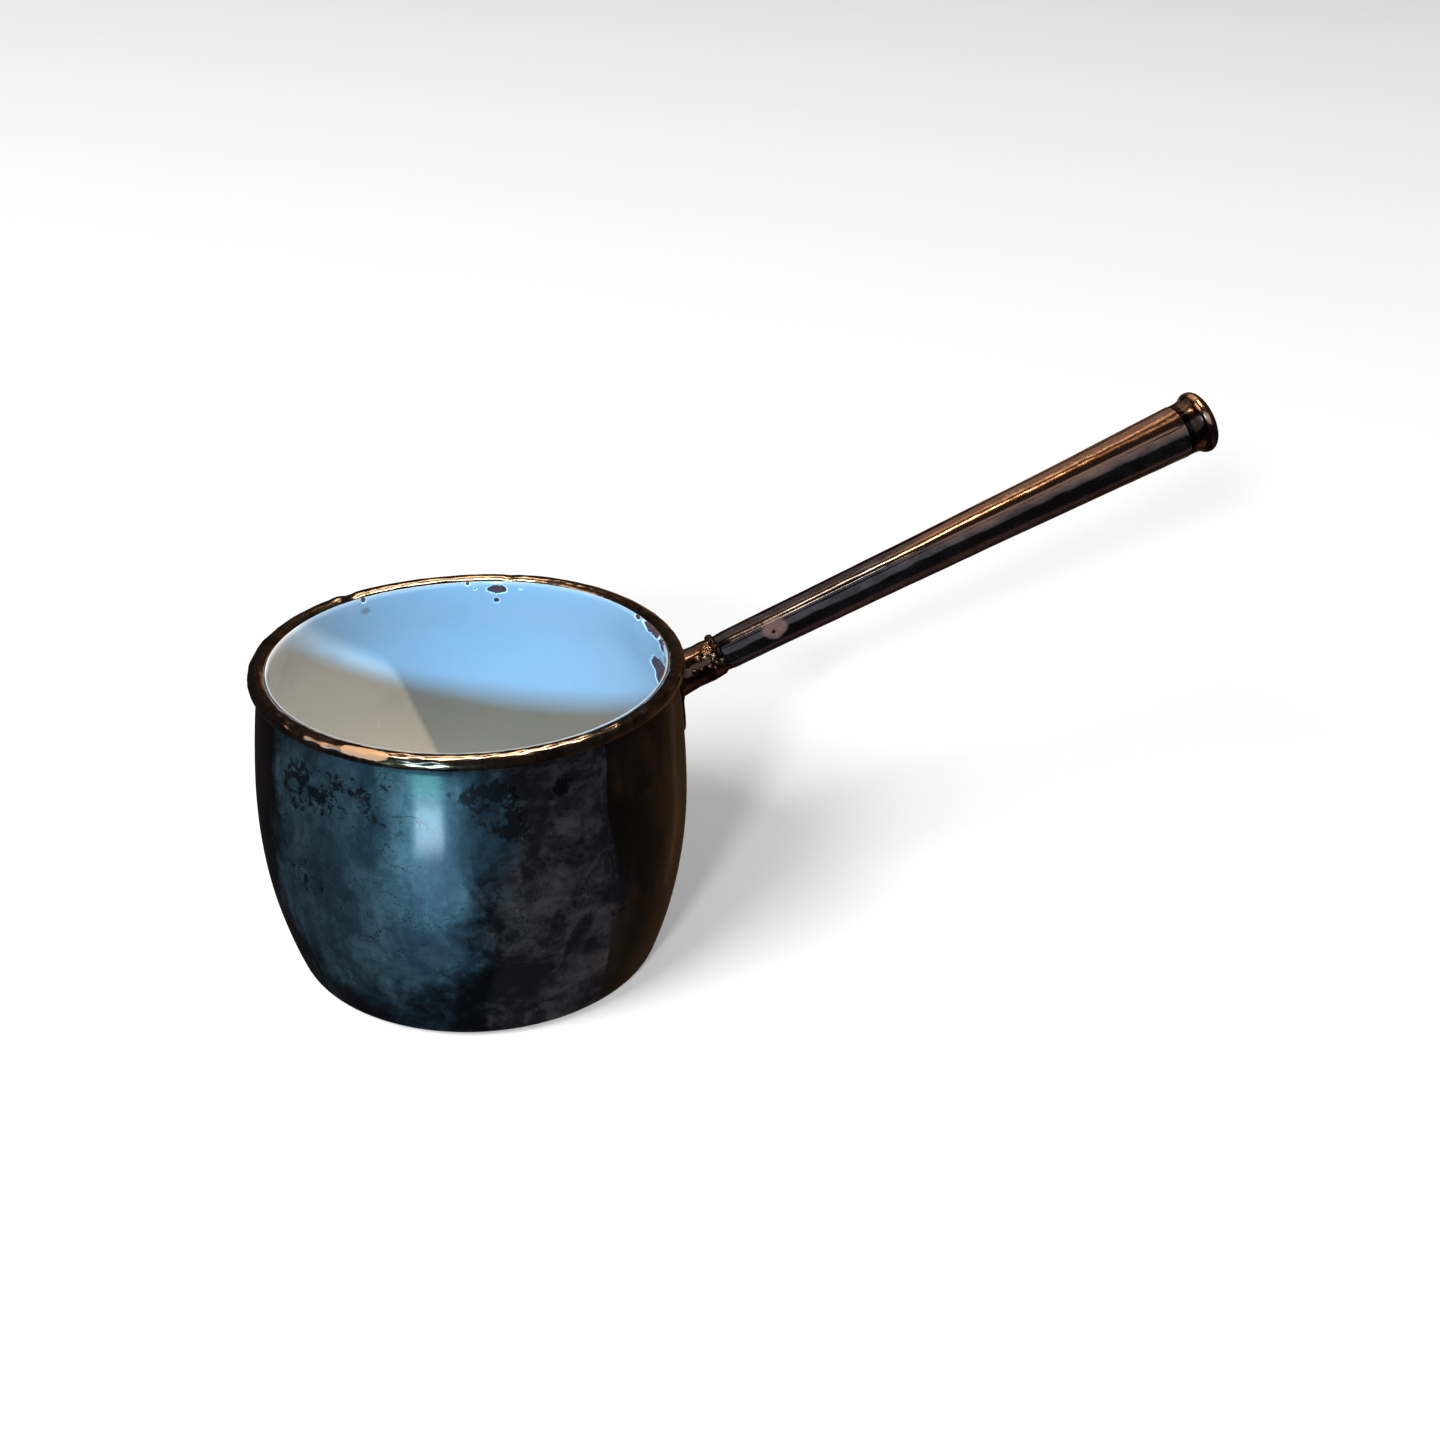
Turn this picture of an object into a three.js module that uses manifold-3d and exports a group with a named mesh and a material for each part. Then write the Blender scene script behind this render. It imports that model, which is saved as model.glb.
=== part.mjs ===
// Copper saucepan with an enamel lining and a hollow copper handle.
//
// Millimetres, +Z up. The origin is the centre of the flat base, on the surface that the pan
// stands on. The handle leaves the wall in the +X direction and climbs away from the pan.
//
// The vessel is one spun copper sheet whose rim is rolled outward around a steel wire. Inside it
// are two fired coats: a thin dark ground coat and the pale cover coat. A curved saddle plate is
// brazed to the wall, a socket neck is brazed to the saddle, the tapered tube plugs into the neck
// and a flared cap with a fat rolled lip closes the tube's far end.

import * as THREE from 'three';
import { mergeVertices } from 'three/addons/utils/BufferGeometryUtils.js';
import Module from 'manifold-3d';

const wasm = await Module();
wasm.setup();

// ---------------------------------------------------------------- driving dimensions

const DEG = Math.PI / 180;

// Vessel
const panHeight = 118;             // base to the top of the rolled rim
const rimRadius = 77.5;            // outside of the rolled rim
const bellyRadius = 78.4;          // widest part of the wall
const bellyHeight = 63.5;          // height of the widest part
const neckRadius = 74.5;           // outside of the wall just under the roll
const neckBelowRoll = 0.6;         // clear height between that place and the roll
const lowerWallCurve = 170;        // radius of the bulge from the base corner to the belly
const baseCorner = 6.6;            // outside radius of the corner between base and wall
const sheet = 1.0;                 // copper sheet thickness

// Rolled rim
const rollRadius = 2.9;            // outside radius of the roll
const rollInnerReach = 3.4;        // the roll is a little fuller on the mouth side
const wireRadius = rollRadius - sheet;
const rollCentreRadius = rimRadius - rollRadius;
const rollCentreHeight = panHeight - rollRadius;
const rollRoot = 225 * DEG;        // where the wall runs into the roll
const rollFreeEdge = -60 * DEG;    // where the rolled sheet ends, below the wire
const coatEdge = 152 * DEG;        // how far the coats climb up the mouth side of the roll
const wireClearance = 0.1;         // hair of room between the wire and the sheet

// Fired coats
const groundCoat = 0.2;
const coverCoat = 0.5;
const coatSeam = 0.02;             // hairline between one fired layer and the next

// Handle line
const handleTilt = 18.9 * DEG;     // climb of the handle above the horizontal
const handleRoot = new THREE.Vector3(75.6, 0, 96.3);
const gap = 0.3;                   // clearance between pieces that are joined by braze

// Saddle plate
const saddleThickness = 1.3;
const saddleWidth = 36;
const saddleHeight = 32;
const saddleCornerRadius = 13;
const saddleCentreHeight = 94.5;
const saddleReach = [40, 100];     // stretch along +X in which the plate's outline cuts the wall
const saddleBrazeDepth = 1.1;
const saddleBrazeSpread = 3.2;     // how far the fillet reaches beyond the neck
const saddleBrazeTaper = 1;        // the fillet's edge slopes in by this much either way
const saddleBrazeTop = 12;         // along the handle line, clear of the fillet

// Neck: a socket that is deeper below the handle line than above it
const neckDrop = 0.6;
const neckRootRadius = 8.9;
const neckMouthRadius = 7.5;
const neckMouth = 20;              // distance of the mouth from the handle root
const neckMouthChamfer = 0.5;
const neckSwell = [2, 19];         // stretch of the handle line along which the neck swells
const neckHidden = -14;            // the neck's outline begins inside the wall and is cut there
const socketDepth = 11.3;
const spigotRadius = 5.8;          // reduced end of the tube that sits in the socket
const cutterOvershoot = 1;

// Braze bead between the neck's mouth and the tube's shoulder
const beadWidth = 0.9;
const beadRadius = 7.7;

// Tube
const tubeWall = 1.0;
const tubeShoulder = neckMouth + beadWidth + 2 * gap;
const tubeEnd = 224;
const tubeStartRadius = 7.2;
const tubeEndRadius = 10.6;
const tubeFlare = 1.2;             // part of the growth that comes late, near the end
const swageLength = 4.5;           // the tube is swaged in a little beside the braze bead
const swageDepth = 0.3;

// Vent hole in the closed tube
const ventRadius = 0.6;
const ventDistance = 43;
const ventAngle = -110 * DEG;      // around the tube, from its underside towards -Y
const ventDrillLength = 6;

// End cap
const capPlugLength = 7;
const lipRadius = 12.5;            // outside of the rolled lip
const lipRoll = 2.8;               // radius of the lip's own section
const lipCentre = 233.2;
const capWaistRadius = 10.4;
const capFlareReach = 1.2;         // half width of the quarter ellipse that the waist flares along
const capFlareEnd = 0.62 * Math.PI;
const capFlareShoulder = 0.8;      // part of the lip's own radius at which the flare meets the lip
const lipStart = -0.15 * Math.PI;
const capDish = 1.2;               // the end face is dished

// Facets
const panSides = 40;
const handleSides = 24;
const wallSteps = [3, 4, 3];       // base corner, lower bulge, upper wall
const channelSteps = 8;            // round the wire, in the sheet and on the wire itself
const rollSteps = 5;
const coatedMouthSteps = 2;
const bareMouthSteps = 3;
const saddleCornerSteps = 5;
const swellSteps = 4;
const tubeSteps = 10;
const boreSteps = 6;
const ventSides = 8;
const beadSteps = 4;
const flareSteps = 3;
const lipSteps = 6;
const weldDistance = 1e-4;

// ---------------------------------------------------------------- materials

const copperDark = { color: 0x2b2320, roughness: 0.28, metalness: 0.9 };
const copperBrown = { color: 0x5a3a2a, roughness: 0.35, metalness: 0.9 };
const brazeGold = { color: 0x9a7444, roughness: 0.3, metalness: 0.9 };
const steelWire = { color: 0x6f7276, roughness: 0.4, metalness: 0.9 };
const darkGround = { color: 0x2a2028, roughness: 0.4, metalness: 0 };
const paleEnamel = { color: 0xc9cdcc, roughness: 0.12, metalness: 0 };

// ---------------------------------------------------------------- helpers

// Points of a circular or elliptical arc, both ends included.
function arc(centreX, centreY, radiusX, radiusY, from, to, steps) {
  return Array.from({ length: steps + 1 }, (_, i) => {
    const angle = from + ((to - from) * i) / steps;
    return new THREE.Vector2(centreX + radiusX * Math.cos(angle), centreY + radiusY * Math.sin(angle));
  });
}

// Position-only geometry with shared corners and without the flat triangles at a lathe's poles.
function weld(geometry) {
  const bare = geometry.clone();
  bare.deleteAttribute('normal');
  bare.deleteAttribute('uv');
  const merged = mergeVertices(bare, weldDistance);
  const index = merged.getIndex().array;
  const kept = [];
  for (let i = 0; i < index.length; i += 3) {
    const [a, b, c] = [index[i], index[i + 1], index[i + 2]];
    if (a !== b && b !== c && c !== a) {
      kept.push(a, b, c);
    }
  }
  merged.setIndex(kept);
  return merged;
}

// Turn an outline (x = radius, y = height) about +Z.
function turned(outline, sides) {
  const geometry = new THREE.LatheGeometry(outline, sides);
  geometry.rotateX(Math.PI / 2);
  return weld(geometry);
}

function toSolid(geometry) {
  const welded = weld(geometry);
  return new wasm.Manifold(new wasm.Mesh({
    numProp: 3,
    vertProperties: new Float32Array(welded.getAttribute('position').array),
    triVerts: new Uint32Array(welded.getIndex().array),
  }));
}

function toGeometry(solid) {
  const mesh = solid.getMesh();
  const geometry = new THREE.BufferGeometry();
  geometry.setAttribute('position', new THREE.BufferAttribute(new Float32Array(mesh.vertProperties), 3));
  geometry.setIndex(new THREE.BufferAttribute(new Uint32Array(mesh.triVerts), 1));
  return geometry;
}

const saucepan = new THREE.Group();
const handle = new THREE.Group();
handle.position.copy(handleRoot);
handle.rotation.y = Math.PI / 2 - handleTilt;
saucepan.add(handle);
handle.updateMatrixWorld(true);

function addPiece(parent, name, geometry, look) {
  const shaded = geometry.index ? geometry.toNonIndexed() : geometry;
  shaded.computeVertexNormals();
  const mesh = new THREE.Mesh(shaded, new THREE.MeshStandardMaterial(look));
  mesh.name = name;
  parent.add(mesh);
}

// ---------------------------------------------------------------- vessel outlines

// The outside of the wall is three arcs that run into each other: the base corner, the long lower
// bulge up to the belly, and the flatter upper wall that draws in to the neck under the roll.
const lowerCentreX = bellyRadius - lowerWallCurve;
const cornerCentreX = lowerCentreX
  + Math.sqrt((lowerWallCurve - baseCorner) ** 2 - (bellyHeight - baseCorner) ** 2);
const cornerAngle = Math.atan2(baseCorner - bellyHeight, cornerCentreX - lowerCentreX);
const wallTop = rollCentreHeight - rollRadius - neckBelowRoll;
const upperRise = wallTop - bellyHeight;
const upperDraw = bellyRadius - neckRadius;
const upperWallCurve = (upperRise ** 2 + upperDraw ** 2) / (2 * upperDraw);
const upperAngle = Math.asin(upperRise / upperWallCurve);

// The wall from the centre of the base up to the neck, moved inward by `inset`.
function wallOutline(inset) {
  const [cornerSteps, lowerSteps, upperSteps] = wallSteps;
  const corner = baseCorner - inset;
  const lower = lowerWallCurve - inset;
  const upper = upperWallCurve - inset;
  return [
    new THREE.Vector2(0, inset),
    ...arc(cornerCentreX, baseCorner, corner, corner, -Math.PI / 2, cornerAngle, cornerSteps),
    ...arc(lowerCentreX, bellyHeight, lower, lower, cornerAngle, 0, lowerSteps).slice(1),
    ...arc(bellyRadius - upperWallCurve, bellyHeight, upper, upper, 0, upperAngle, upperSteps).slice(1),
  ];
}

// An arc of the roll, `inset` inside its outer surface.
function rollOutline(inset, from, to, steps) {
  return arc(rollCentreRadius, rollCentreHeight, rollRadius - inset, rollRadius - inset, from, to, steps);
}

// An arc of the roll's mouth side, which bulges a little towards the mouth.
function mouthOutline(inset, from, to, steps) {
  return arc(rollCentreRadius, rollCentreHeight, rollInnerReach - inset, rollRadius - inset, from, to, steps);
}

// Copper sheet: up the outside, round the wire's channel, back over the roll and down the inside.
function bodyOutline() {
  const coated = mouthOutline(0, rollRoot, coatEdge, coatedMouthSteps);
  const bare = mouthOutline(0, coatEdge, Math.PI / 2, bareMouthSteps).slice(1, bareMouthSteps);
  return [
    ...wallOutline(0),
    ...rollOutline(sheet, rollRoot, rollFreeEdge, channelSteps),
    ...rollOutline(0, rollFreeEdge, Math.PI / 2, rollSteps),
    ...bare.reverse(),
    ...coated.reverse(),
    ...wallOutline(sheet).reverse(),
  ];
}

// One fired coat between two depths measured from the outside of the copper.
function coatOutline(outerDepth, thickness) {
  const face = (depth) => [
    ...wallOutline(depth),
    ...mouthOutline(sheet - depth, rollRoot, coatEdge, coatedMouthSteps),
  ];
  return [...face(outerDepth), ...face(outerDepth + thickness).reverse()];
}

const panBody = turned(bodyOutline(), panSides);
addPiece(saucepan, 'pan_body', panBody, copperDark);
const groundDepth = sheet + coatSeam;
const coverDepth = groundDepth + groundCoat + coatSeam;
addPiece(saucepan, 'ground_coat', turned(coatOutline(groundDepth, groundCoat), panSides), darkGround);
addPiece(saucepan, 'enamel_lining', turned(coatOutline(coverDepth, coverCoat), panSides), paleEnamel);

// The wire lies in the roll with a hair of clearance all round.
const wireOutline = rollOutline(sheet + wireClearance, 0, 2 * Math.PI, channelSteps);
addPiece(saucepan, 'rim_wire', turned(wireOutline, panSides), steelWire);

// ---------------------------------------------------------------- saddle

// Everything within `distance` of the pan's axis side: the wall swollen outward by that distance.
function swollenPan(distance) {
  const outline = [...wallOutline(-distance), new THREE.Vector2(0, wallTop)];
  return toSolid(turned(outline, panSides));
}

// A bar along +X with a rounded outline, centred on the saddle.
function saddleBar() {
  const shape = new THREE.Shape();
  const halfWidth = saddleWidth / 2;
  const halfHeight = saddleHeight / 2;
  const corner = saddleCornerRadius;
  shape.absarc(halfWidth - corner, halfHeight - corner, corner, 0, Math.PI / 2);
  shape.absarc(corner - halfWidth, halfHeight - corner, corner, Math.PI / 2, Math.PI);
  shape.absarc(corner - halfWidth, corner - halfHeight, corner, Math.PI, 1.5 * Math.PI);
  shape.absarc(halfWidth - corner, corner - halfHeight, corner, 1.5 * Math.PI, 2 * Math.PI);
  const [start, end] = saddleReach;
  const bar = new THREE.ExtrudeGeometry(shape, {
    depth: end - start,
    bevelEnabled: false,
    curveSegments: saddleCornerSteps,
  });
  bar.rotateZ(Math.PI / 2);
  bar.rotateY(Math.PI / 2);
  bar.translate(start, 0, saddleCentreHeight);
  return toSolid(bar);
}

const saddleBack = gap;
const saddleFront = gap + saddleThickness;
const saddle = swollenPan(saddleFront).subtract(swollenPan(saddleBack)).intersect(saddleBar());
addPiece(saucepan, 'handle_saddle', toGeometry(saddle), copperBrown);

// ---------------------------------------------------------------- neck and its braze

// A solid turned about the handle line, in the pan's own frame.
function onHandleLine(outline, drop = 0) {
  const geometry = turned(outline, handleSides);
  geometry.translate(drop, 0, 0);
  geometry.applyMatrix4(handle.matrixWorld);
  return toSolid(geometry);
}

// The neck swells towards the wall along a quarter ellipse.
function neckOutline(extra) {
  const [swellStart, swellEnd] = neckSwell;
  const root = neckRootRadius + extra;
  const mouth = neckMouthRadius + extra;
  return [
    new THREE.Vector2(0, neckHidden),
    new THREE.Vector2(root, neckHidden),
    ...arc(root, swellEnd, root - mouth, swellEnd - swellStart, -Math.PI / 2, -Math.PI, swellSteps),
    new THREE.Vector2(mouth - neckMouthChamfer, neckMouth),
    new THREE.Vector2(0, neckMouth),
  ];
}

const socket = onHandleLine([
  new THREE.Vector2(0, neckMouth - socketDepth),
  new THREE.Vector2(spigotRadius + gap, neckMouth - socketDepth),
  new THREE.Vector2(spigotRadius + gap, neckMouth + cutterOvershoot),
  new THREE.Vector2(0, neckMouth + cutterOvershoot),
]);
const neck = onHandleLine(neckOutline(0), neckDrop)
  .subtract(socket)
  .subtract(swollenPan(saddleFront + gap));
addPiece(saucepan, 'handle_neck', toGeometry(neck), copperBrown);

// A collar of filler metal on the saddle's face, all round the root of the neck.
const collarRadius = neckRootRadius + saddleBrazeSpread;
const collarOutline = [
  new THREE.Vector2(0, neckHidden),
  new THREE.Vector2(collarRadius + saddleBrazeTaper, neckHidden),
  new THREE.Vector2(collarRadius - saddleBrazeTaper, saddleBrazeTop),
  new THREE.Vector2(0, saddleBrazeTop),
];
const saddleBraze = swollenPan(saddleFront + gap + saddleBrazeDepth)
  .subtract(swollenPan(saddleFront + gap))
  .intersect(onHandleLine(collarOutline, neckDrop))
  .subtract(onHandleLine(neckOutline(gap), neckDrop));
addPiece(saucepan, 'saddle_braze', toGeometry(saddleBraze), brazeGold);

// ---------------------------------------------------------------- tube, bead and cap

// Outside radius of the tube at a distance from the handle root.
function tubeRadius(distance) {
  const along = (distance - tubeShoulder) / (tubeEnd - tubeShoulder);
  const steady = tubeEndRadius - tubeStartRadius - tubeFlare;
  const swage = swageDepth * Math.max(0, 1 - (distance - tubeShoulder) / swageLength);
  return tubeStartRadius + steady * along + tubeFlare * along ** 3 - swage;
}

// Points of the tube's taper from `from` to `to`, moved inward by `inset`.
function taper(from, to, inset, steps) {
  return Array.from({ length: steps + 1 }, (_, i) => {
    const distance = from + ((to - from) * i) / steps;
    return new THREE.Vector2(tubeRadius(distance) - inset, distance);
  });
}

const spigotEnd = neckMouth - socketDepth + gap;
const swageEnd = tubeShoulder + swageLength;
const tubeOutline = [
  new THREE.Vector2(spigotRadius - tubeWall, spigotEnd),
  new THREE.Vector2(spigotRadius, spigotEnd),
  new THREE.Vector2(spigotRadius, tubeShoulder),
  new THREE.Vector2(tubeRadius(tubeShoulder), tubeShoulder),
  ...taper(swageEnd, tubeEnd, 0, tubeSteps),
  ...taper(swageEnd, tubeEnd, tubeWall, boreSteps).reverse(),
  new THREE.Vector2(spigotRadius - tubeWall, tubeShoulder + tubeWall),
  new THREE.Vector2(spigotRadius - tubeWall, spigotEnd),
];
const ventDrill = new THREE.CylinderGeometry(ventRadius, ventRadius, ventDrillLength, ventSides);
ventDrill.translate(0, tubeRadius(ventDistance), 0);
ventDrill.rotateZ(-Math.PI / 2);
ventDrill.rotateZ(ventAngle);
ventDrill.translate(0, 0, ventDistance);
const tube = toSolid(turned(tubeOutline, handleSides)).subtract(toSolid(ventDrill));
addPiece(handle, 'handle_tube', toGeometry(tube), copperDark);

const beadStart = neckMouth + gap;
const beadHalf = beadWidth / 2;
const beadOutline = [
  new THREE.Vector2(spigotRadius + gap, beadStart),
  ...arc(beadRadius - beadHalf, beadStart + beadHalf, beadHalf, beadHalf, -Math.PI / 2, Math.PI / 2, beadSteps),
  new THREE.Vector2(spigotRadius + gap, beadStart + beadWidth),
  new THREE.Vector2(spigotRadius + gap, beadStart),
];
addPiece(handle, 'neck_braze', turned(beadOutline, handleSides), brazeGold);

// The cap: a plug inside the tube, a waist that flares out, a fat lip and a dished end.
const plugRadius = tubeRadius(tubeEnd - capPlugLength) - tubeWall - gap;
const lipCentreRadius = lipRadius - lipRoll;
const capStart = tubeEnd + gap;
const waistSpan = lipCentre - lipRoll * capFlareShoulder - capStart;
const capOutline = [
  new THREE.Vector2(0, tubeEnd - capPlugLength),
  new THREE.Vector2(plugRadius, tubeEnd - capPlugLength),
  new THREE.Vector2(plugRadius, capStart),
  ...arc(capWaistRadius + capFlareReach, capStart, capFlareReach, waistSpan, Math.PI, capFlareEnd, flareSteps),
  ...arc(lipCentreRadius, lipCentre, lipRoll, lipRoll, lipStart, Math.PI / 2, lipSteps),
  new THREE.Vector2(lipCentreRadius - lipRoll, lipCentre + lipRoll - capDish),
  new THREE.Vector2(0, lipCentre + lipRoll - capDish),
];
addPiece(handle, 'handle_cap', turned(capOutline, handleSides), copperBrown);

export default saucepan;
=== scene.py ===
"""A small enamel-lined copper saucepan with a long hollow handle.

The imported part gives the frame, the heights and the handle line. Every piece here is a surface
worked out with numpy on a grid of two parameters: usually one runs along a profile and the other
round an axis. Lengths are metres; `MM` turns millimetres into metres.
"""
import logging
import math
from dataclasses import dataclass
from enum import Enum

import bpy
import numpy as np
from mathutils import Matrix, Vector


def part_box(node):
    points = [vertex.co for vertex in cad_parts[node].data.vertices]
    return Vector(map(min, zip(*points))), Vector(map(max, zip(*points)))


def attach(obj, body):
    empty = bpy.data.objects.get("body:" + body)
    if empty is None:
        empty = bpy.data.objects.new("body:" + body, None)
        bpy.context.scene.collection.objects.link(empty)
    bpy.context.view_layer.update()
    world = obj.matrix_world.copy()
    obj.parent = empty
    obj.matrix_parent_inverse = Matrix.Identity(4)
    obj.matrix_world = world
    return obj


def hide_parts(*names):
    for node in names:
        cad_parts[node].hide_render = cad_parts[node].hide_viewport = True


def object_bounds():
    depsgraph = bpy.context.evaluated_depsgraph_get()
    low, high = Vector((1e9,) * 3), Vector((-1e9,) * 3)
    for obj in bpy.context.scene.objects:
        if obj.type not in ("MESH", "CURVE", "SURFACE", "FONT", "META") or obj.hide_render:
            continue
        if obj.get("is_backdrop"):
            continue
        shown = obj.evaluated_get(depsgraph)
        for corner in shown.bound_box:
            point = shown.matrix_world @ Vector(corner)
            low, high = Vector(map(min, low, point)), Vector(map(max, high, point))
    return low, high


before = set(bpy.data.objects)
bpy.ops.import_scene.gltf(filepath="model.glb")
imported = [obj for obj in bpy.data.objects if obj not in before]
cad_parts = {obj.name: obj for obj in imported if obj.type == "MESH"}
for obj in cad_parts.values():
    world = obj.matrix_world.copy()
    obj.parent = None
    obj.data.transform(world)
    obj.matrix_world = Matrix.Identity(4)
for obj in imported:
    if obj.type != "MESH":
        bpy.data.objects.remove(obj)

MM = 0.001
BODY = "root"
HANDLE_TILT = 18.9
LOG = logging.getLogger("saucepan")
Array = np.ndarray


# ------------------------------------------------------------------ curves and fields

def arc(centre: tuple[float, float], radii: tuple[float, float], start: float, stop: float,
        count: int) -> Array:
    """Points on an elliptical arc: centre + radii * (cos t, sin t), t in degrees.

    Args:
        centre: radius and height of the arc's centre.
        radii: half-axes of the ellipse.
        start: first angle in degrees.
        stop: last angle in degrees.
        count: number of points, both ends included.

    Returns:
        Array of shape (count, 2).
    """
    t = np.radians(np.linspace(start, stop, count))
    return np.stack([centre[0] + radii[0] * np.cos(t), centre[1] + radii[1] * np.sin(t)], axis=1)


def straight(start: tuple[float, float], stop: tuple[float, float], count: int) -> Array:
    """Evenly spaced points from start to stop, both included, as an array of shape (count, 2)."""
    return np.linspace(np.array(start, float), np.array(stop, float), count)


def chain(*paths: Array) -> Array:
    """Joins paths end to end and drops points that lie on the one before them."""
    points = np.concatenate(paths)
    step = np.linalg.norm(np.diff(points, axis=0), axis=1)
    return points[np.concatenate([[True], step > 1e-7])]


def smooth(low: float, high: float, value: Array) -> Array:
    """Goes from 0 at low to 1 at high along the cubic 3t^2 - 2t^3; low may be above high."""
    t = np.clip((value - low) / (high - low), 0.0, 1.0)
    return t * t * (3.0 - 2.0 * t)


def turn_between(angle: Array, centre: float) -> Array:
    """Signed angle in degrees from centre to angle, between -180 and 180."""
    return (angle - centre + 180.0) % 360.0 - 180.0


def bell(angle: Array, centre: float, width: float) -> Array:
    """exp(-(d / width)^2), where d is the turn from centre in degrees."""
    return np.exp(-((turn_between(angle, centre) / width) ** 2))


def ripple(angle: Array, seed: int, lowest: int, highest: int) -> Array:
    """Closed wavy line: a sum of cosines of whole wave counts with random sizes and phases.

    Args:
        angle: angles in degrees.
        seed: seed of the random draws.
        lowest: fewest waves per turn.
        highest: most waves per turn.

    Returns:
        Values of about -1 to 1, one for each angle.
    """
    rng = np.random.default_rng(seed)
    waves = np.arange(lowest, highest + 1)
    size = rng.uniform(0.3, 1.0, waves.size)
    phase = rng.uniform(0.0, 2.0 * math.pi, waves.size)
    total = (size * np.cos(np.radians(angle)[..., None] * waves + phase)).sum(axis=-1)
    return total / math.sqrt(0.5 * np.sum(size ** 2)) / 2.0


def quilt(angle: Array, height: Array, seed: int, waves: int, pitch: float, count: int = 24) -> Array:
    """Soft random dimples on a round wall: a sum of cosines in turn and height.

    Args:
        angle: angles in degrees.
        height: heights in metres, shaped to broadcast with angle.
        seed: seed of the random draws.
        waves: most waves per turn.
        pitch: shortest wave along the height, in metres.
        count: number of waves that are summed.

    Returns:
        Values of about -1 to 1 on the broadcast shape.
    """
    rng = np.random.default_rng(seed)
    turns = rng.integers(-waves, waves + 1, count)
    rises = rng.uniform(-1.0, 1.0, count) * 2.0 * math.pi / pitch
    phase = rng.uniform(0.0, 2.0 * math.pi, count)
    total = np.cos(np.radians(angle)[..., None] * turns + height[..., None] * rises + phase).sum(axis=-1)
    return total / math.sqrt(0.5 * count) / 2.0


@dataclass(frozen=True)
class Knock:
    """A bump or a dent at one place round an edge: angle and span in degrees, and height."""
    turn: float
    span: float
    height: float


def knocked(turn: Array, knocks: tuple[Knock, ...]) -> Array:
    """The sum of the knocks, each a bell round its angle times its height."""
    return sum(knock.height * bell(turn, knock.turn, knock.span) for knock in knocks)


# ------------------------------------------------------------------ grids to meshes

def lattice(rows: int, columns: int, wrap_rows: bool) -> Array:
    """Quads of a grid whose columns run round and close; rows close too if wrap_rows is true."""
    i = np.arange(rows if wrap_rows else rows - 1)[:, None]
    j = np.arange(columns)[None, :]
    over, across = (i + 1) % rows, (j + 1) % columns
    corners = [i * columns + j, i * columns + across, over * columns + across, over * columns + j]
    return np.stack(corners, axis=-1).reshape(-1, 4)


def fan(pole: int, ring_start: int, columns: int, opening: bool) -> Array:
    """Triangles from a pole to a ring, wound to match a grid that starts or ends at that pole."""
    j = np.arange(columns)
    here, there = ring_start + j, ring_start + (j + 1) % columns
    tip = np.full(columns, pole)
    return np.stack([tip, there, here] if opening else [tip, here, there], axis=1)


def enclosed_volume(points: Array, triangles: Array) -> float:
    """Signed volume: a sixth of the sum of a . (b x c) over the triangles."""
    a, b, c = points[triangles[:, 0]], points[triangles[:, 1]], points[triangles[:, 2]]
    return float(np.einsum("ij,ij->", a, np.cross(b, c)) / 6.0)


def skin(name: str, grid: Array, poles: tuple[Array, Array] | None = None,
         fields: dict[str, Array] | None = None) -> bpy.types.Object:
    """Turns a grid of points into a closed, smooth-shaded mesh object whose faces point outwards.

    Args:
        name: the piece's name.
        grid: points of shape (rows, columns, 3); the columns run round.
        poles: the points that close the first and last row, or None where the rows close on themselves.
        fields: values to keep on the points, each of shape (rows, columns), by attribute name.

    Returns:
        The linked object, at the origin.
    """
    rows, columns, _ = grid.shape
    points = grid.reshape(-1, 3)
    quads = lattice(rows, columns, wrap_rows=poles is None)
    fans = np.empty((0, 3), int)
    if poles is not None:
        first, last_row = points.shape[0], (rows - 1) * columns
        points = np.concatenate([points, np.stack(poles)])
        fans = np.concatenate([fan(first, 0, columns, True), fan(first + 1, last_row, columns, False)])
    triangles = np.concatenate([quads[:, [0, 1, 2]], quads[:, [0, 2, 3]], fans])
    if enclosed_volume(points, triangles) < 0.0:
        quads, fans = quads[:, ::-1], fans[:, ::-1]
    mesh = bpy.data.meshes.new(name)
    mesh.from_pydata(points.tolist(), [], quads.tolist() + fans.tolist())
    for key, values in (fields or {}).items():
        flat = np.zeros(points.shape[0], np.float32)
        flat[:rows * columns] = values.reshape(-1)
        mesh.attributes.new(key, "FLOAT", "POINT").data.foreach_set("value", flat)
    mesh.polygons.foreach_set("use_smooth", np.ones(len(mesh.polygons), bool))
    mesh.update()
    piece = bpy.data.objects.new(name, mesh)
    bpy.context.scene.collection.objects.link(piece)
    return piece


# ------------------------------------------------------------------ the pan

@dataclass(frozen=True)
class Lump:
    """A knock or a bump on the rolled rim: angle round the rim and round the roll, spans, height."""
    turn: float
    side: float
    turn_span: float
    side_span: float
    height: float


@dataclass(frozen=True)
class Chip:
    """A flake gone from the pale enamel, an ellipse on the wall: centre, half-axes, raggedness, lean."""
    turn: float
    height: float
    half_width: float
    half_height: float
    ragged: float = 0.25 * MM
    lean: float = 0.0


@dataclass(frozen=True)
class Stain:
    """A soft mark on the wall: angle and height of its middle, spans in degrees and metres, strength."""
    turn: float
    height: float
    turn_span: float
    height_span: float
    strength: float

    def spread(self, turn: Array, z: Array) -> Array:
        """Strength times a bell round the turn and a bell along the height."""
        along = np.exp(-((z - self.height) / self.height_span) ** 2)
        return self.strength * bell(turn, self.turn, self.turn_span) * along


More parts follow.
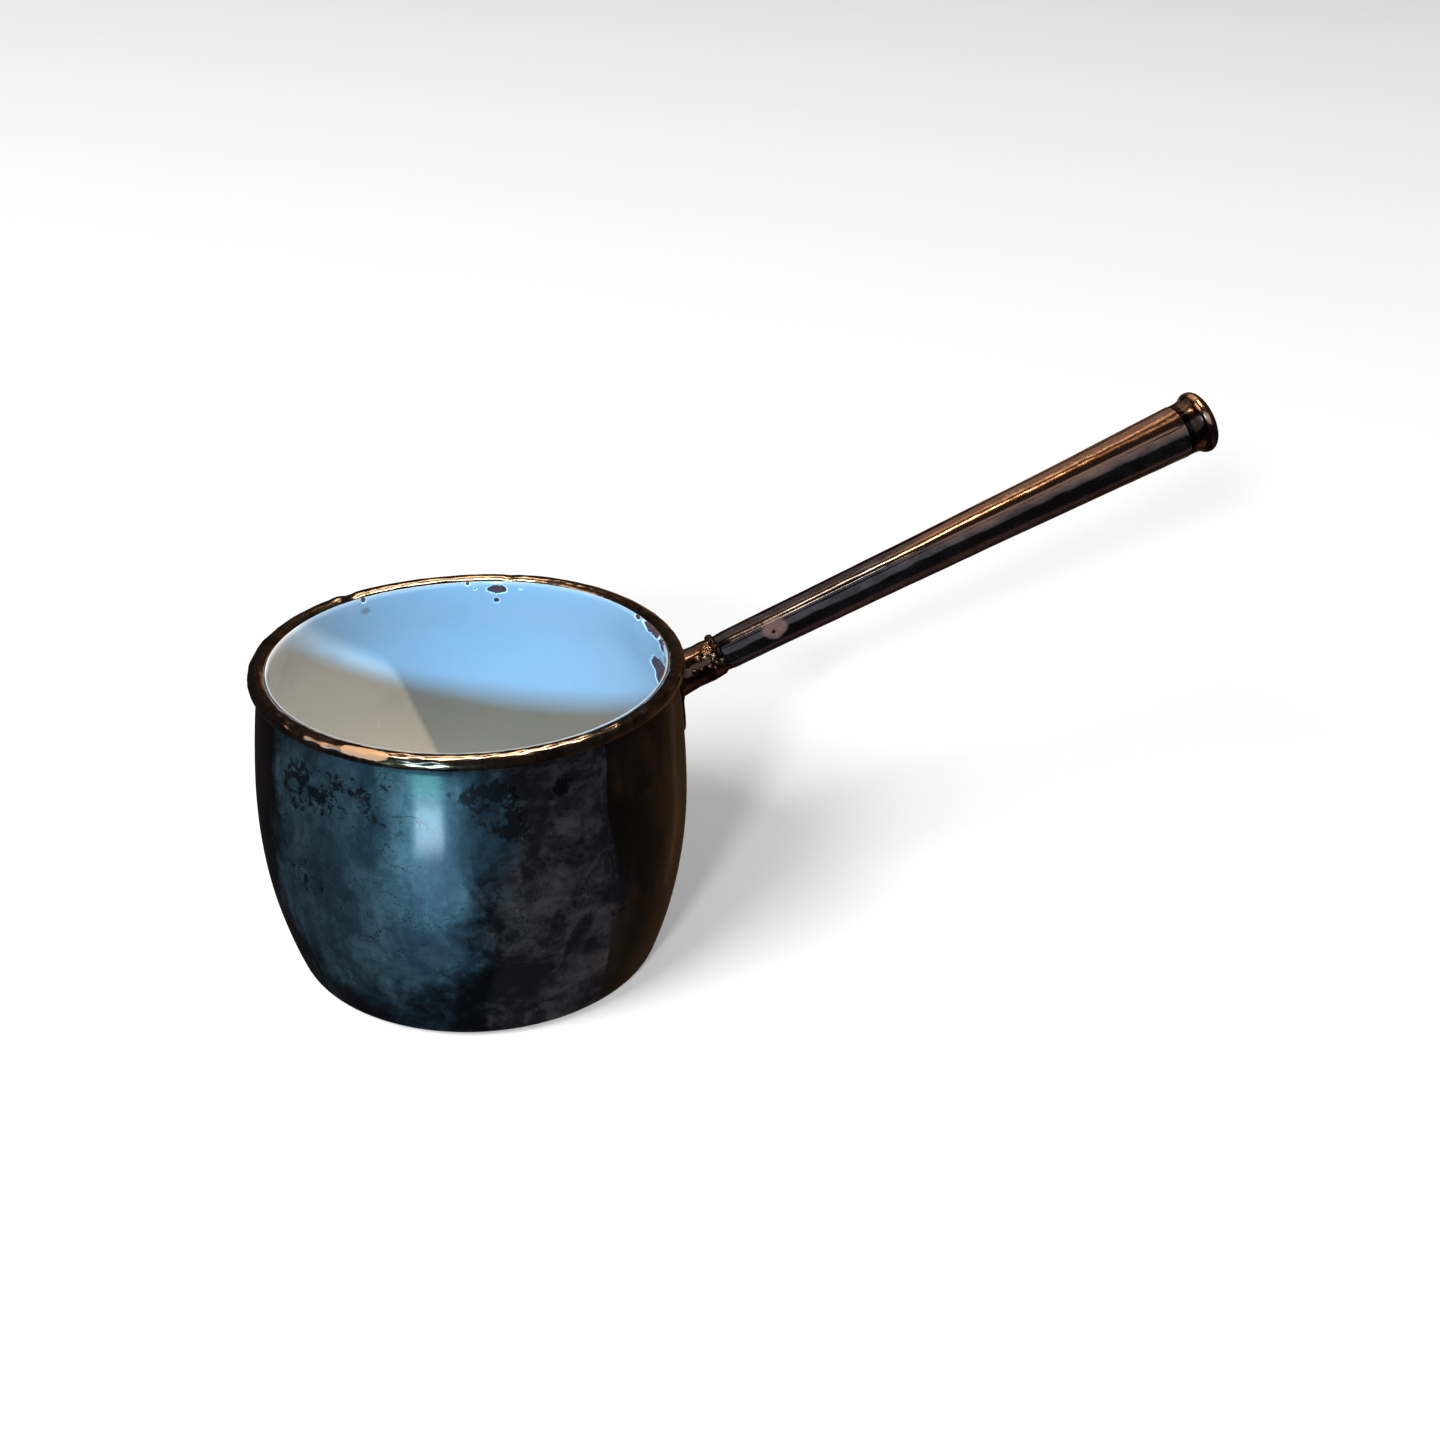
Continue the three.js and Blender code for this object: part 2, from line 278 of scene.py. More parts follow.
@dataclass
class Vessel:
    """The pan itself: copper sheet rolled over an iron wire, with two coats of enamel inside.

    The wall's outline is three arcs that run into each other: the corner round the base, the long
    bulge up to the belly, and the flatter upper wall that draws in under the roll.
    """
    belly_radius: float
    height: float
    roll_centre: tuple[float, float]
    roll_radius: float
    belly_height: float = 63.5 * MM
    neck_radius: float = 74.5 * MM
    bulge: float = 170.0 * MM
    corner: float = 6.6 * MM
    sheet: float = 1.0 * MM
    wire_gap: float = 0.1 * MM
    mouth_reach: float = 3.4 * MM
    wall_gap: float = 0.6 * MM
    roll_root: float = 225.0
    roll_edge: float = -60.0
    coat_edge: float = 152.0
    throat_foot: float = 90.0 * MM
    seam: float = 0.02 * MM
    ground: float = 0.2 * MM
    cover: float = 0.5 * MM
    columns: int = 480
    chip_depth: float = 0.4 * MM
    rim_dip: float = 0.85 * MM
    out_of_round: float = 0.35 * MM
    lobe_turn: float = 20.0
    dent_depth: float = 0.14 * MM
    rim_grain: float = 0.07 * MM
    rim_fine_grain: float = 0.05 * MM
    # The sharp vertical edge where the brown side and its painted warm reflection begin.
    brown_edge: tuple[float, float] = (-68.6, -67.0)
    patch_from: tuple[float, float] = (-140.5, -135.0)
    patch_to: tuple[float, float] = (-128.0, -122.5)
    # Where the painted warm light on the lining ends: a leaning shadow edge and a sloping top.
    shade_turn: float = 90.0
    shade_lean: float = 280.84
    lit_height: float = 86 * MM
    lit_turn: float = 104.0
    lumps: tuple[Lump, ...] = (
        Lump(-170.0, 40.0, 2.4, 60.0, 0.40 * MM), Lump(-163.5, 65.0, 1.8, 50.0, 0.50 * MM),
        Lump(-158.0, 45.0, 1.5, 45.0, 0.45 * MM), Lump(-149.5, 20.0, 2.0, 45.0, 0.50 * MM),
        Lump(-143.0, 0.0, 2.6, 60.0, 0.25 * MM), Lump(-134.0, 5.0, 6.0, 50.0, 0.18 * MM),
        Lump(-98.0, 70.0, 2.0, 40.0, 0.16 * MM), Lump(-84.0, 75.0, 1.6, 40.0, 0.20 * MM),
        Lump(-74.0, 60.0, 2.4, 40.0, 0.22 * MM), Lump(-63.0, 65.0, 1.6, 40.0, 0.26 * MM),
        Lump(-52.0, 55.0, 2.2, 45.0, 0.24 * MM), Lump(112.0, 95.0, 2.0, 60.0, -0.7 * MM),
        Lump(116.0, 85.0, 1.8, 60.0, 0.35 * MM), Lump(62.5, 95.0, 1.6, 60.0, -0.45 * MM),
        Lump(150.0, 60.0, 3.0, 60.0, 0.30 * MM), Lump(163.0, 50.0, 2.2, 60.0, 0.28 * MM),
    )
    chips: tuple[Chip, ...] = (
        Chip(66.0, 113.5 * MM, 3.9 * MM, 1.9 * MM),
        Chip(66.4, 108.5 * MM, 1.25 * MM, 1.15 * MM, 0.12 * MM),
        Chip(72.9, 113.8 * MM, 0.6 * MM, 0.4 * MM, 0.1 * MM),
        Chip(58.5, 114.0 * MM, 0.45 * MM, 0.25 * MM, 0.1 * MM),
        Chip(109.3, 116.1 * MM, 1.1 * MM, 1.3 * MM),
        Chip(75.2, 116.2 * MM, 0.8 * MM, 0.9 * MM, 0.1 * MM),
        Chip(-1.2, 98.8 * MM, 12.5 * MM, 6.0 * MM, 0.4 * MM, 0.20),
        Chip(1.4, 93.4 * MM, 8.5 * MM, 5.4 * MM, 0.4 * MM, 0.1),
        Chip(3.0, 115.6 * MM, 8.5 * MM, 1.7 * MM, 0.5 * MM),
        Chip(-7.0, 114.6 * MM, 4.5 * MM, 2.4 * MM, 0.5 * MM),
        Chip(12.5, 116.2 * MM, 1.6 * MM, 1.2 * MM),
    )
    stains: tuple[Stain, ...] = (
        Stain(-158.0, 62 * MM, 12.0, 30 * MM, 0.30), Stain(-145.0, 95 * MM, 4.0, 4 * MM, 0.25),
        Stain(-137.0, 101 * MM, 6.0, 2.4 * MM, 0.30), Stain(-154.0, 97 * MM, 4.0, 4 * MM, 0.25),
        Stain(-105.0, 102 * MM, 3.0, 7 * MM, 0.35), Stain(-98.0, 105 * MM, 4.0, 5 * MM, 0.45),
        Stain(-81.0, 102 * MM, 3.4, 4.4 * MM, 0.95), Stain(-93.0, 90 * MM, 6.0, 8 * MM, 0.45),
        Stain(-128.0, 92 * MM, 5.0, 3 * MM, 0.3), Stain(-150.0, 60 * MM, 6.0, 9 * MM, 0.3),
        Stain(-66.0, 45 * MM, 5.0, 6 * MM, 0.5), Stain(-105.0, 28 * MM, 3.0, 4 * MM, 0.5),
        Stain(60.0, 80 * MM, 9.0, 14 * MM, 0.5), Stain(150.0, 50 * MM, 10.0, 18 * MM, 0.5),
    )
    smears: tuple[Stain, ...] = (
        Stain(108.6, 111 * MM, 2.2, 2.2 * MM, 1.0), Stain(118.0, 112 * MM, 6.0, 4 * MM, 0.5),
    )

    @classmethod
    def from_frame(cls) -> "Vessel":
        """Reads the belly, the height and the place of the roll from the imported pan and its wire."""
        pan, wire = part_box("pan_body"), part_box("rim_wire")
        wire_radius = (wire[1].z - wire[0].z) / 2.0
        centre = (wire[1].x - wire_radius, (wire[1].z + wire[0].z) / 2.0)
        return cls(pan[1].x, pan[1].z, centre, pan[1].z - centre[1])

    def wall(self, inset: float, counts: tuple[int, int, int, int]) -> Array:
        """The wall's outline from near the middle of the base to the neck, moved inwards by inset.

        Args:
            inset: distance inside the outer surface; a negative one is outside it.
            counts: points on the base, the corner, the bulge and the upper wall.

        Returns:
            Radius and height of each point.
        """
        middle = self.belly_radius - self.bulge
        reach = math.sqrt((self.bulge - self.corner) ** 2 - (self.belly_height - self.corner) ** 2)
        corner = (middle + reach, self.corner)
        turn = math.degrees(math.atan2(self.corner - self.belly_height, reach))
        rise = self.roll_centre[1] - self.roll_radius - self.wall_gap - self.belly_height
        draw = self.belly_radius - self.neck_radius
        upper = (rise ** 2 + draw ** 2) / (2.0 * draw)
        top = math.degrees(math.asin(rise / upper))
        inner = (self.corner - inset,) * 2
        return chain(
            straight((corner[0] / counts[0], inset), (corner[0], inset), counts[0]),
            arc(corner, inner, -90.0, turn, counts[1]),
            arc((middle, self.belly_height), (self.bulge - inset,) * 2, turn, 0.0, counts[2]),
            arc((self.belly_radius - upper, self.belly_height), (upper - inset,) * 2, 0.0, top, counts[3]),
        )

    def roll(self, inset: float, start: float, stop: float, count: int) -> Array:
        """An arc of the roll, inset inside its outer surface, as radius and height."""
        return arc(self.roll_centre, (self.roll_radius - inset,) * 2, start, stop, count)

    def mouth(self, inset: float, start: float, stop: float, count: int) -> Array:
        """The mouth side of the roll, an ellipse that reaches further in, as radius and height."""
        return arc(self.roll_centre, (self.mouth_reach - inset, self.roll_radius - inset), start, stop, count)

    def settle(self, radius: Array, height: Array, turn: Array) -> Array:
        """Gives the true turned shape its age: out of round, shallow dents and a dip in the far rim.

        The radius gains a two-lobed wave that grows with height and a quilt of soft dimples, and the
        height loses a wide bell near the rim.

        Args:
            radius: radii, broadcast with turn.
            height: heights, broadcast with turn.
            turn: angles in degrees.

        Returns:
            Points of shape (rows, columns, 3).
        """
        lobes = self.out_of_round * np.cos(np.radians(2.0 * (turn - self.lobe_turn)))
        lobes = lobes * smooth(10 * MM, 110 * MM, height)
        wall = smooth(4 * MM, 30 * MM, height) * smooth(self.height, 100 * MM, height)
        dents = self.dent_depth * quilt(turn, height, 11, 9, 34 * MM) * wall
        dip = self.rim_dip * bell(turn, 86.0, 34.0) + 0.12 * MM * ripple(turn, 5, 2, 7)
        sunk = height - dip * smooth(90 * MM, 115 * MM, height)
        grown = radius + (lobes + dents) * smooth(0.0, 30 * MM, radius)
        t = np.radians(turn)
        return np.stack(np.broadcast_arrays(grown * np.cos(t), grown * np.sin(t), sunk), axis=-1)

    def body(self) -> bpy.types.Object:
        """The copper sheet: up the outside, round the wire, back over the roll and down the inside.

        A closed outline of radius and height is turned round the axis, and each point of the roll is
        pushed along the outline's normal by the sum of the lumps, each a bell round the rim times a
        bell round the roll.
        """
        outline = chain(
            self.wall(0.0, (14, 10, 34, 30)),
            self.roll(self.sheet, self.roll_root, self.roll_edge, 14),
            self.roll(0.0, self.roll_edge, 90.0, 22),
            self.mouth(0.0, 90.0, self.roll_root, 12),
            self.wall(self.sheet, (6, 4, 8, 8))[::-1],
        )
        turn = np.linspace(-180.0, 180.0, self.columns, endpoint=False)[None, :]
        r, z = outline[:, :1], outline[:, 1:]
        side = np.degrees(np.arctan2(z - self.roll_centre[1], r - self.roll_centre[0]))
        off = np.hypot(r - self.roll_centre[0], z - self.roll_centre[1])
        skin_of_roll = smooth(self.roll_radius - 0.5 * MM, self.roll_radius - 0.1 * MM, off)
        on_roll = skin_of_roll * smooth(6 * MM, 4.5 * MM, off) * smooth(-62.0, -40.0, side)
        push = self.rim_grain * ripple(turn + side * 0.15, 3, 9, 60)
        push = push + self.rim_fine_grain * ripple(turn - side * 0.3, 4, 30, 120)
        for lump in self.lumps:
            round_the_rim = lump.height * bell(turn, lump.turn, lump.turn_span)
            push = push + round_the_rim * bell(side, lump.side, lump.side_span)
        push = push * on_roll
        s = np.radians(side)
        grid = self.settle(r + push * np.cos(s), z + push * np.sin(s), turn)
        base = self.settle(np.zeros((2, 1)), np.array([[0.0], [self.sheet]]), turn)[:, 0]
        return skin("copper_pan", grid, (base[0], base[1]), self.patina(r, z, turn, on_roll, side))

    def patina(self, r: Array, z: Array, turn: Array, on_roll: Array, side: Array) -> dict[str, Array]:
        """Where each colour of the tarnish and of the painted reflections lies, worked out from turn and
        height with wavy edges.

        Args:
            r: radius of each row.
            z: height of each row.
            turn: angle of each column.
            on_roll: 1 on the outside of the roll.
            side: angle round the roll.

        Returns:
            Fields from 0 to 1: blue tarnish with painted window sheen, dark stain, brown side with painted
                warm reflection, roll, bare copper and plum of painted reflection.
        """
        shape = np.broadcast_shapes(z.shape, turn.shape)
        wander = 5.0 * quilt(turn, z, 21, 7, 30 * MM) + 2.0 * quilt(turn, z, 22, 30, 12 * MM)
        edge = turn + wander
        # Blue tarnish, partly painted window sheen: strongest on the left side that faces the window and in a
        # band high on the wall, weaker towards the bottom.
        left = smooth(-178.0, -152.0, edge) * smooth(-76.0, -116.0, edge + 6.0 * smooth(80 * MM, 60 * MM, z))
        upper = 0.95 * smooth(-172.0, -150.0, edge) * smooth(-93.0, -97.0, edge) * smooth(78 * MM, 92 * MM, z)
        far = 0.75 * bell(edge, 118.0, 40.0) + 0.6 * bell(edge, 20.0, 26.0)
        low = 0.45 + 0.55 * smooth(6 * MM, 52 * MM, z + 4 * MM * quilt(turn, z, 24, 20, 20 * MM))
        film_and_sheen = np.maximum(np.maximum(left, far) * low, upper)
        band = smooth(84 * MM, 90 * MM, z) * smooth(110 * MM, 105 * MM, z)
        # The speckled stain band skips -117 degrees, under the painted window sheen.
        speckled = smooth(-170.0, -158.0, turn) * smooth(-88.0, -94.0, turn) * (1.0 - bell(turn, -117.0, 9.0))
        stain = 0.38 * band * speckled + sum(mark.spread(turn, z) for mark in self.stains)
        ragged = turn + 1.0 * quilt(turn, z, 25, 12, 25 * MM)
        # Brown side: the copper's own brown-black under painted warm reflection, from a sharp edge near -68
        # degrees round the right side to the back, stronger past -50 degrees, with a strip at the left edge
        # near 175 degrees.
        side_on = smooth(*self.brown_edge, ragged)
        warm = side_on * smooth(100.0, 60.0, turn)
        warm = warm * (0.35 + 0.65 * smooth(-74.0, -50.0, edge + 10.0 * smooth(60 * MM, 100 * MM, z)))
        warm = np.maximum(warm, 0.8 * bell(edge, 175.0, 14.0))
        # Plum: painted reflection of the dim room on the black tarnish, between the blue and the brown side;
        # high on the wall it stops at the brown side's edge.
        plum = smooth(-108.0, -92.0, edge) * (1.0 - side_on * smooth(70 * MM, 88 * MM, z))
        plum = plum * smooth(-40.0, -62.0, edge)
        patch = smooth(*self.patch_from, turn) * smooth(*self.patch_to[::-1], turn)
        patch = 1.2 * patch * bell(side, 46.0, 36.0) * on_roll
        fields = {"film_and_sheen": film_and_sheen, "stain": stain, "warm": warm, "roll": on_roll, "bare": patch, "plum": plum}
        return {key: np.broadcast_to(value, shape).copy() for key, value in fields.items()}

    def wire(self) -> bpy.types.Object:
        """The iron wire in the roll: a circle carried round the axis, with a faint waver."""
        turn = np.linspace(-180.0, 180.0, 240, endpoint=False)[None, :]
        ring = self.roll(self.sheet + self.wire_gap, 0.0, 360.0, 17)[:-1]
        waver = 0.02 * MM * ripple(turn, 8, 8, 40)
        return skin("wire_in_rim", self.settle(ring[:, :1] + waver, ring[:, 1:], turn))

    def coat_rim(self, inset: float, count: int) -> Array:
        """The part of a coat that climbs the mouth side of the roll, as radius and height."""
        return self.mouth(self.sheet - inset, self.roll_root, self.coat_edge, count)

    def flooded(self, inset: float, counts: tuple[int, int, int, int], count: int) -> Array:
        """The inside of the cover coat, which ran into the corner under the roll and rounded it.

        The wall is followed up to the throat's foot, and the mouth from its reach to the coat's edge;
        between them runs a cubic (Hermite) curve that leaves and arrives along their directions.

        Args:
            inset: distance inside the outer surface.
            counts: points on the base, the corner, the bulge and the upper wall.
            count: points on the throat curve.

        Returns:
            Radius and height of each point.
        """
        wall = self.wall(inset, counts)
        wall = wall[wall[:, 1] < self.throat_foot]
        crest = self.mouth(self.sheet - inset, 186.0, self.coat_edge, 10)
        t = np.linspace(0.0, 1.0, count)[1:-1, None]
        leave = (wall[-1] - wall[-2]) / np.linalg.norm(wall[-1] - wall[-2])
        arrive = (crest[1] - crest[0]) / np.linalg.norm(crest[1] - crest[0])
        span = np.linalg.norm(crest[0] - wall[-1])
        curve = (2 * t ** 3 - 3 * t ** 2 + 1) * wall[-1] + (t ** 3 - 2 * t ** 2 + t) * leave * span \
            + (3 * t ** 2 - 2 * t ** 3) * crest[0] + (t ** 3 - t ** 2) * arrive * span
        return chain(wall, curve, crest)

    def ground_coat(self) -> bpy.types.Object:
        """The dark first coat: the inside of the sheet's outline, out and back, turned round the axis."""
        outer, inner = self.sheet + self.seam, self.sheet + self.seam + self.ground
        counts = (6, 6, 16, 14)
        outline = chain(self.wall(outer, counts), self.coat_rim(outer, 6),
                        self.coat_rim(inner, 6)[::-1], self.wall(inner, counts)[::-1])
        turn = np.linspace(-180.0, 180.0, 360, endpoint=False)[None, :]
        grid = self.settle(outline[:, :1], outline[:, 1:], turn)
        poles = self.settle(np.zeros((2, 1)), np.array([[outer], [inner]]), turn)[:, 0]
        return skin("dark_first_coat", grid, (poles[0], poles[1]))

    def chip_field(self, turn: Array, z: Array) -> Array:
        """How far inside a chip each point lies, in metres, negative outside.

        For each ellipse it is (1 - distance in half-axes) times the smaller half-axis, plus a ragged
        edge made of small waves. The deepest chip wins.
        """
        deepest = np.full(np.broadcast_shapes(turn.shape, z.shape), -9 * MM)
        radius = self.neck_radius - 2.0 * MM
        for number, chip in enumerate(self.chips):
            across = np.radians(turn_between(turn, chip.turn)) * radius
            up = z - chip.height
            across = across + chip.lean * up
            reach = np.sqrt((across / chip.half_width) ** 2 + (up / chip.half_height) ** 2)
            around = np.degrees(np.arctan2(up, across))
            ragged = chip.ragged * ripple(around, 40 + number, 3, 14)
            deepest = np.maximum(deepest, (1.0 - reach) * min(chip.half_width, chip.half_height) + ragged)
        return deepest

    def lining(self) -> bpy.types.Object:
        """The pale cover coat, with flakes missing.

        The columns crowd together where the chips are: their angles are the inverse of the running sum
        of a density that is 1 plus a tall bell at each group of chips. The inside surface is pushed back
        towards the sheet by the chip depth times a smooth step of the chip field.
        """
        outer = self.sheet + self.ground + 2.0 * self.seam
        inner = outer + self.cover
        fine = np.linspace(-180.0, 180.0, 7201)
        density = 1.0 + 5.5 * (bell(fine, 67.0, 9.0) + bell(fine, 1.0, 17.0)) + 4.0 * bell(fine, 109.3, 3.0)
        total = np.concatenate([[0.0], np.cumsum((density[1:] + density[:-1]) / 2.0)])
        turn = np.interp(np.linspace(0.0, total[-1], self.columns, endpoint=False), total, fine)[None, :]
        outside = chain(self.wall(outer, (4, 4, 8, 10)), self.coat_rim(outer, 5))
        inside = self.flooded(inner, (10, 7, 22, 30), 66)[::-1]
        outline = chain(outside, inside)
        r, z = outline[:, :1], outline[:, 1:]
        facing = (np.arange(len(outline)) >= len(outside))[:, None]
        chip = np.where(facing, self.chip_field(turn, z), -9 * MM)
        swell = 0.05 * MM * quilt(turn, z, 31, 40, 9 * MM) * facing * smooth(self.height, 105 * MM, z)
        pushed = r + self.chip_depth * smooth(-0.12 * MM, 0.16 * MM, chip) + swell
        grid = self.settle(pushed, z + 0.0 * turn, turn)
        poles = self.settle(np.zeros((2, 1)), np.array([[outer], [inner]]), turn)[:, 0]
        return skin("pale_lining", grid, (poles[0], poles[1]), self.marks_and_painted_light(turn, z, chip, facing))

    def marks_and_painted_light(self, turn: Array, z: Array, chip: Array, facing: Array) -> dict[str, Array]:
        """Where the lining's flakes, smears, pale scratch and dark tick lie, and where warm light is painted.

        The painted warm light ends at a painted shadow edge that leans round the wall as it climbs, and under
        a sloping top.

        Args:
            turn: angle of each column.
            z: height of each row.
            chip: how far inside a flake each point lies.
            facing: true on the rows of the inside surface.

        Returns:
            Fields by name: chip in millimetres, the others from 0 to 1.
        """
        smear = sum(mark.spread(turn, z) for mark in self.smears)
        # Painted warm light: a warm pool of light on the lower left of the lining, ended by a leaning painted
        # shadow edge and a sloping top.
        shade = self.shade_turn + (z - 50 * MM) * self.shade_lean
        lit_top = self.lit_height + (turn - self.lit_turn) * MM
        warm = smooth(-2.0, 1.6, turn - shade) * smooth(180.0, 162.0, turn)
        warm = warm * smooth(9 * MM, -9 * MM, z - lit_top)
        scratch = np.exp(-((turn - 104.6 - (z - 58 * MM) / MM * 0.06) / 0.35) ** 2)
        scratch = scratch * smooth(54 * MM, 56 * MM, z) * smooth(62 * MM, 60 * MM, z)
        tick = np.exp(-((z - 88.7 * MM + (turn - 55.0) * 0.12 * MM) / (0.28 * MM)) ** 2)
        tick = tick * bell(turn, 55.0, 1.0)
        fields = {"chip": chip / MM, "smear": smear, "warm": warm, "scratch": scratch * facing,
                  "tick": tick * facing}
        shape = np.broadcast_shapes(z.shape, turn.shape)
        return {key: np.broadcast_to(value, shape).copy() for key, value in fields.items()}


# ------------------------------------------------------------------ the handle line

@dataclass
class HandleLine:
    """The straight line that the handle is turned about, which climbs away from the wall.

    A point on it is root + distance * along; round it, angle 0 points to the underside and -90 to -Y.
    """
    root: Array
    tilt: float = HANDLE_TILT
    bead_middle: float = 20.75 * MM

    @classmethod
    def from_frame(cls) -> "HandleLine":
        """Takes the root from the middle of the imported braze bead, which lies on the line."""
        low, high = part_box("neck_braze")
        middle = np.array((low + high) / 2.0)
        line = cls(middle)
        line.root = middle - line.along * line.bead_middle
        return line

    @property
    def along(self) -> Array:
        """The direction away from the wall."""
        return np.array([math.cos(math.radians(self.tilt)), 0.0, math.sin(math.radians(self.tilt))])

    @property
    def under(self) -> Array:
        """The direction from the line towards its underside."""
        return np.array([math.sin(math.radians(self.tilt)), 0.0, -math.cos(math.radians(self.tilt))])

    def place(self, distance: Array, radius: Array, angle: Array) -> Array:
        """root + distance * along + radius * (cos angle * under + sin angle * Y), on the broadcast shape."""
        d, r, a = np.broadcast_arrays(distance, radius, np.radians(angle))
        across = np.cos(a)[..., None] * self.under + np.sin(a)[..., None] * np.array([0.0, 1.0, 0.0])
        return self.root + d[..., None] * self.along + r[..., None] * across


@dataclass(frozen=True)
class Drop:
    """A drop of braze on the neck: its angle in degrees; its distance, size and height in millimetres."""
    turn: float
    distance: float
    size: float
    height: float


@dataclass
class HandleMount:
    """What joins the handle to the wall: a saddle plate, the hollow neck on it, and two runs of braze."""
    vessel: Vessel
    line: HandleLine
    half_width: float = 18.0 * MM
    half_height: float = 16.0 * MM
    squareness: float = 3.2
    centre_height: float = 94.5 * MM
    gap: float = 0.3 * MM
    thickness: float = 1.3 * MM
    edge: float = 0.5 * MM
    neck_drop: float = 0.6 * MM
    neck_root: float = 8.9 * MM
    neck_mouth: float = 7.5 * MM
    mouth: float = 20.0 * MM
    socket: float = 6.1 * MM
    socket_floor: float = 8.7 * MM
    fillet: float = 3.2 * MM
    drops: tuple[Drop, ...] = (
        Drop(-150.0, 18.6, 1.1, 0.8), Drop(-137.0, 17.4, 0.9, 0.8), Drop(-128.0, 18.9, 0.8, 0.7),
        Drop(-146.0, 15.7, 0.9, 0.6), Drop(-161.0, 16.9, 0.9, 0.7), Drop(-118.0, 17.6, 0.7, 0.6),
        Drop(-132.0, 15.0, 0.7, 0.5), Drop(-172.0, 18.8, 0.9, 0.6), Drop(-107.0, 18.6, 0.6, 0.5),
        Drop(-104.0, 15.4, 0.6, 0.5), Drop(-109.0, 12.2, 0.7, 0.5), Drop(-112.0, 9.6, 0.6, 0.4),
        Drop(-95.0, 17.2, 0.5, 0.4), Drop(-140.0, 12.6, 0.6, 0.4), Drop(120.0, 17.5, 1.0, 0.6),
        Drop(60.0, 18.2, 1.2, 0.5),
    )
    blobs: tuple[Knock, ...] = (
        Knock(-170.0, 6.0, 1.0 * MM), Knock(-156.0, 5.0, 1.3 * MM), Knock(-143.0, 4.5, 1.0 * MM),
        Knock(-133.0, 4.0, 0.7 * MM), Knock(-120.0, 5.0, 0.5 * MM), Knock(-92.0, 4.0, 0.9 * MM),
        Knock(-84.0, 3.5, 0.7 * MM), Knock(150.0, 7.0, 0.9 * MM), Knock(60.0, 8.0, 0.5 * MM),
    )
    bead_radius: float = 7.1 * MM
    bead_width: float = 1.15 * MM
    bead_height: float = 0.75 * MM
    fillet_climb: float = 1.5 * MM

    def outside(self, z: Array) -> Array:
        """Radius of the wall's outside at a height, read off its outline."""
        outline = self.vessel.wall(0.0, (4, 12, 80, 80))
        rising = outline[outline[:, 1] > 1 * MM]
        return np.interp(z, rising[:, 1], rising[:, 0])

    def off_wall(self, y: Array, z: Array, distance: Array) -> Array:
        """The point at side distance y and height z that stands off the wall: x^2 = (R(z) + d)^2 - y^2."""
        radius = self.outside(z) + distance
        x = np.sqrt(np.maximum(radius ** 2 - y ** 2, 0.0))
        return np.stack(np.broadcast_arrays(x, y, z), axis=-1)

    def saddle(self) -> bpy.types.Object:
        """The plate: rings of a rounded rectangle from its middle to its edge, over the edge and back.

        Each ring is the superellipse |y/a|^n + |z/b|^n = 1 scaled by the ring's size, laid on the wall
        at the ring's height off it; the last rings round the edge by a quarter circle each.
        """
        turn = np.linspace(0.0, 360.0, 240, endpoint=False)[None, :]
        c, s = np.cos(np.radians(turn)), np.sin(np.radians(turn))
        reach = (np.abs(c) ** self.squareness + np.abs(s) ** self.squareness) ** (-1.0 / self.squareness)
        quarter = np.radians(np.linspace(0.0, 90.0, 7))
        flat = np.linspace(0.03, 1.0, 24)
        inward = np.concatenate([flat * 0 + self.edge, (1.0 - np.sin(quarter)) * self.edge])
        size = np.concatenate([flat, np.ones(7)])[:, None]
        front = np.concatenate([flat * 0, (1.0 - np.cos(quarter)) * self.edge])
        thin = 0.35 * MM * smooth(0.55, 1.0, np.concatenate([flat, np.ones(7)]))
        lift = self.gap + self.thickness - front - thin
        lift = np.concatenate([lift, np.full(12, self.gap)])
        inward = np.concatenate([inward, np.linspace(0.0, self.edge, 12)])
        size = np.concatenate([size[:, 0], np.linspace(1.0, 0.03, 12)])[:, None]
        wavy = 1.0 + 0.012 * ripple(turn, 61, 2, 9)
        y = (self.half_width - inward[:, None]) * size * reach * c * wavy
        z = self.centre_height + (self.half_height - inward[:, None]) * size * reach * s * wavy
        worked = 0.05 * MM * quilt(turn, size * 10 * MM, 62, 5, 5 * MM)
        grid = self.off_wall(y, z, lift[:, None] + worked * (lift[:, None] > 2 * self.gap))
        middle = self.off_wall(np.zeros(2), np.full(2, self.centre_height), np.array([lift[0], lift[-1]]))
        return skin("saddle_plate", grid, (middle[0], middle[1]))

    def land(self, radius: Array, angle: Array, distance: float) -> Array:
        """Distance at which a line parallel to the handle meets the swollen wall, found by halving."""
        radius, angle = np.broadcast_arrays(radius, angle)
        low, high = np.full(radius.shape, -16 * MM), np.full(radius.shape, 25 * MM)
        for _ in range(34):
            middle = (low + high) / 2.0
            p = self.line.place(middle, radius, angle) + self.line.under * self.neck_drop
            beyond = np.hypot(p[..., 0], p[..., 1]) > self.outside(p[..., 2]) + distance
            low, high = np.where(beyond, low, middle), np.where(beyond, middle, high)
        return high

    def neck_radius(self, along: Array) -> Array:
        """Radius of the neck: a quarter ellipse that flares from the mouth, where along is 1, to the root."""
        flare = 1.0 - np.sqrt(1.0 - (1.0 - along) ** 2)
        return self.neck_mouth + (self.neck_root - self.neck_mouth) * flare

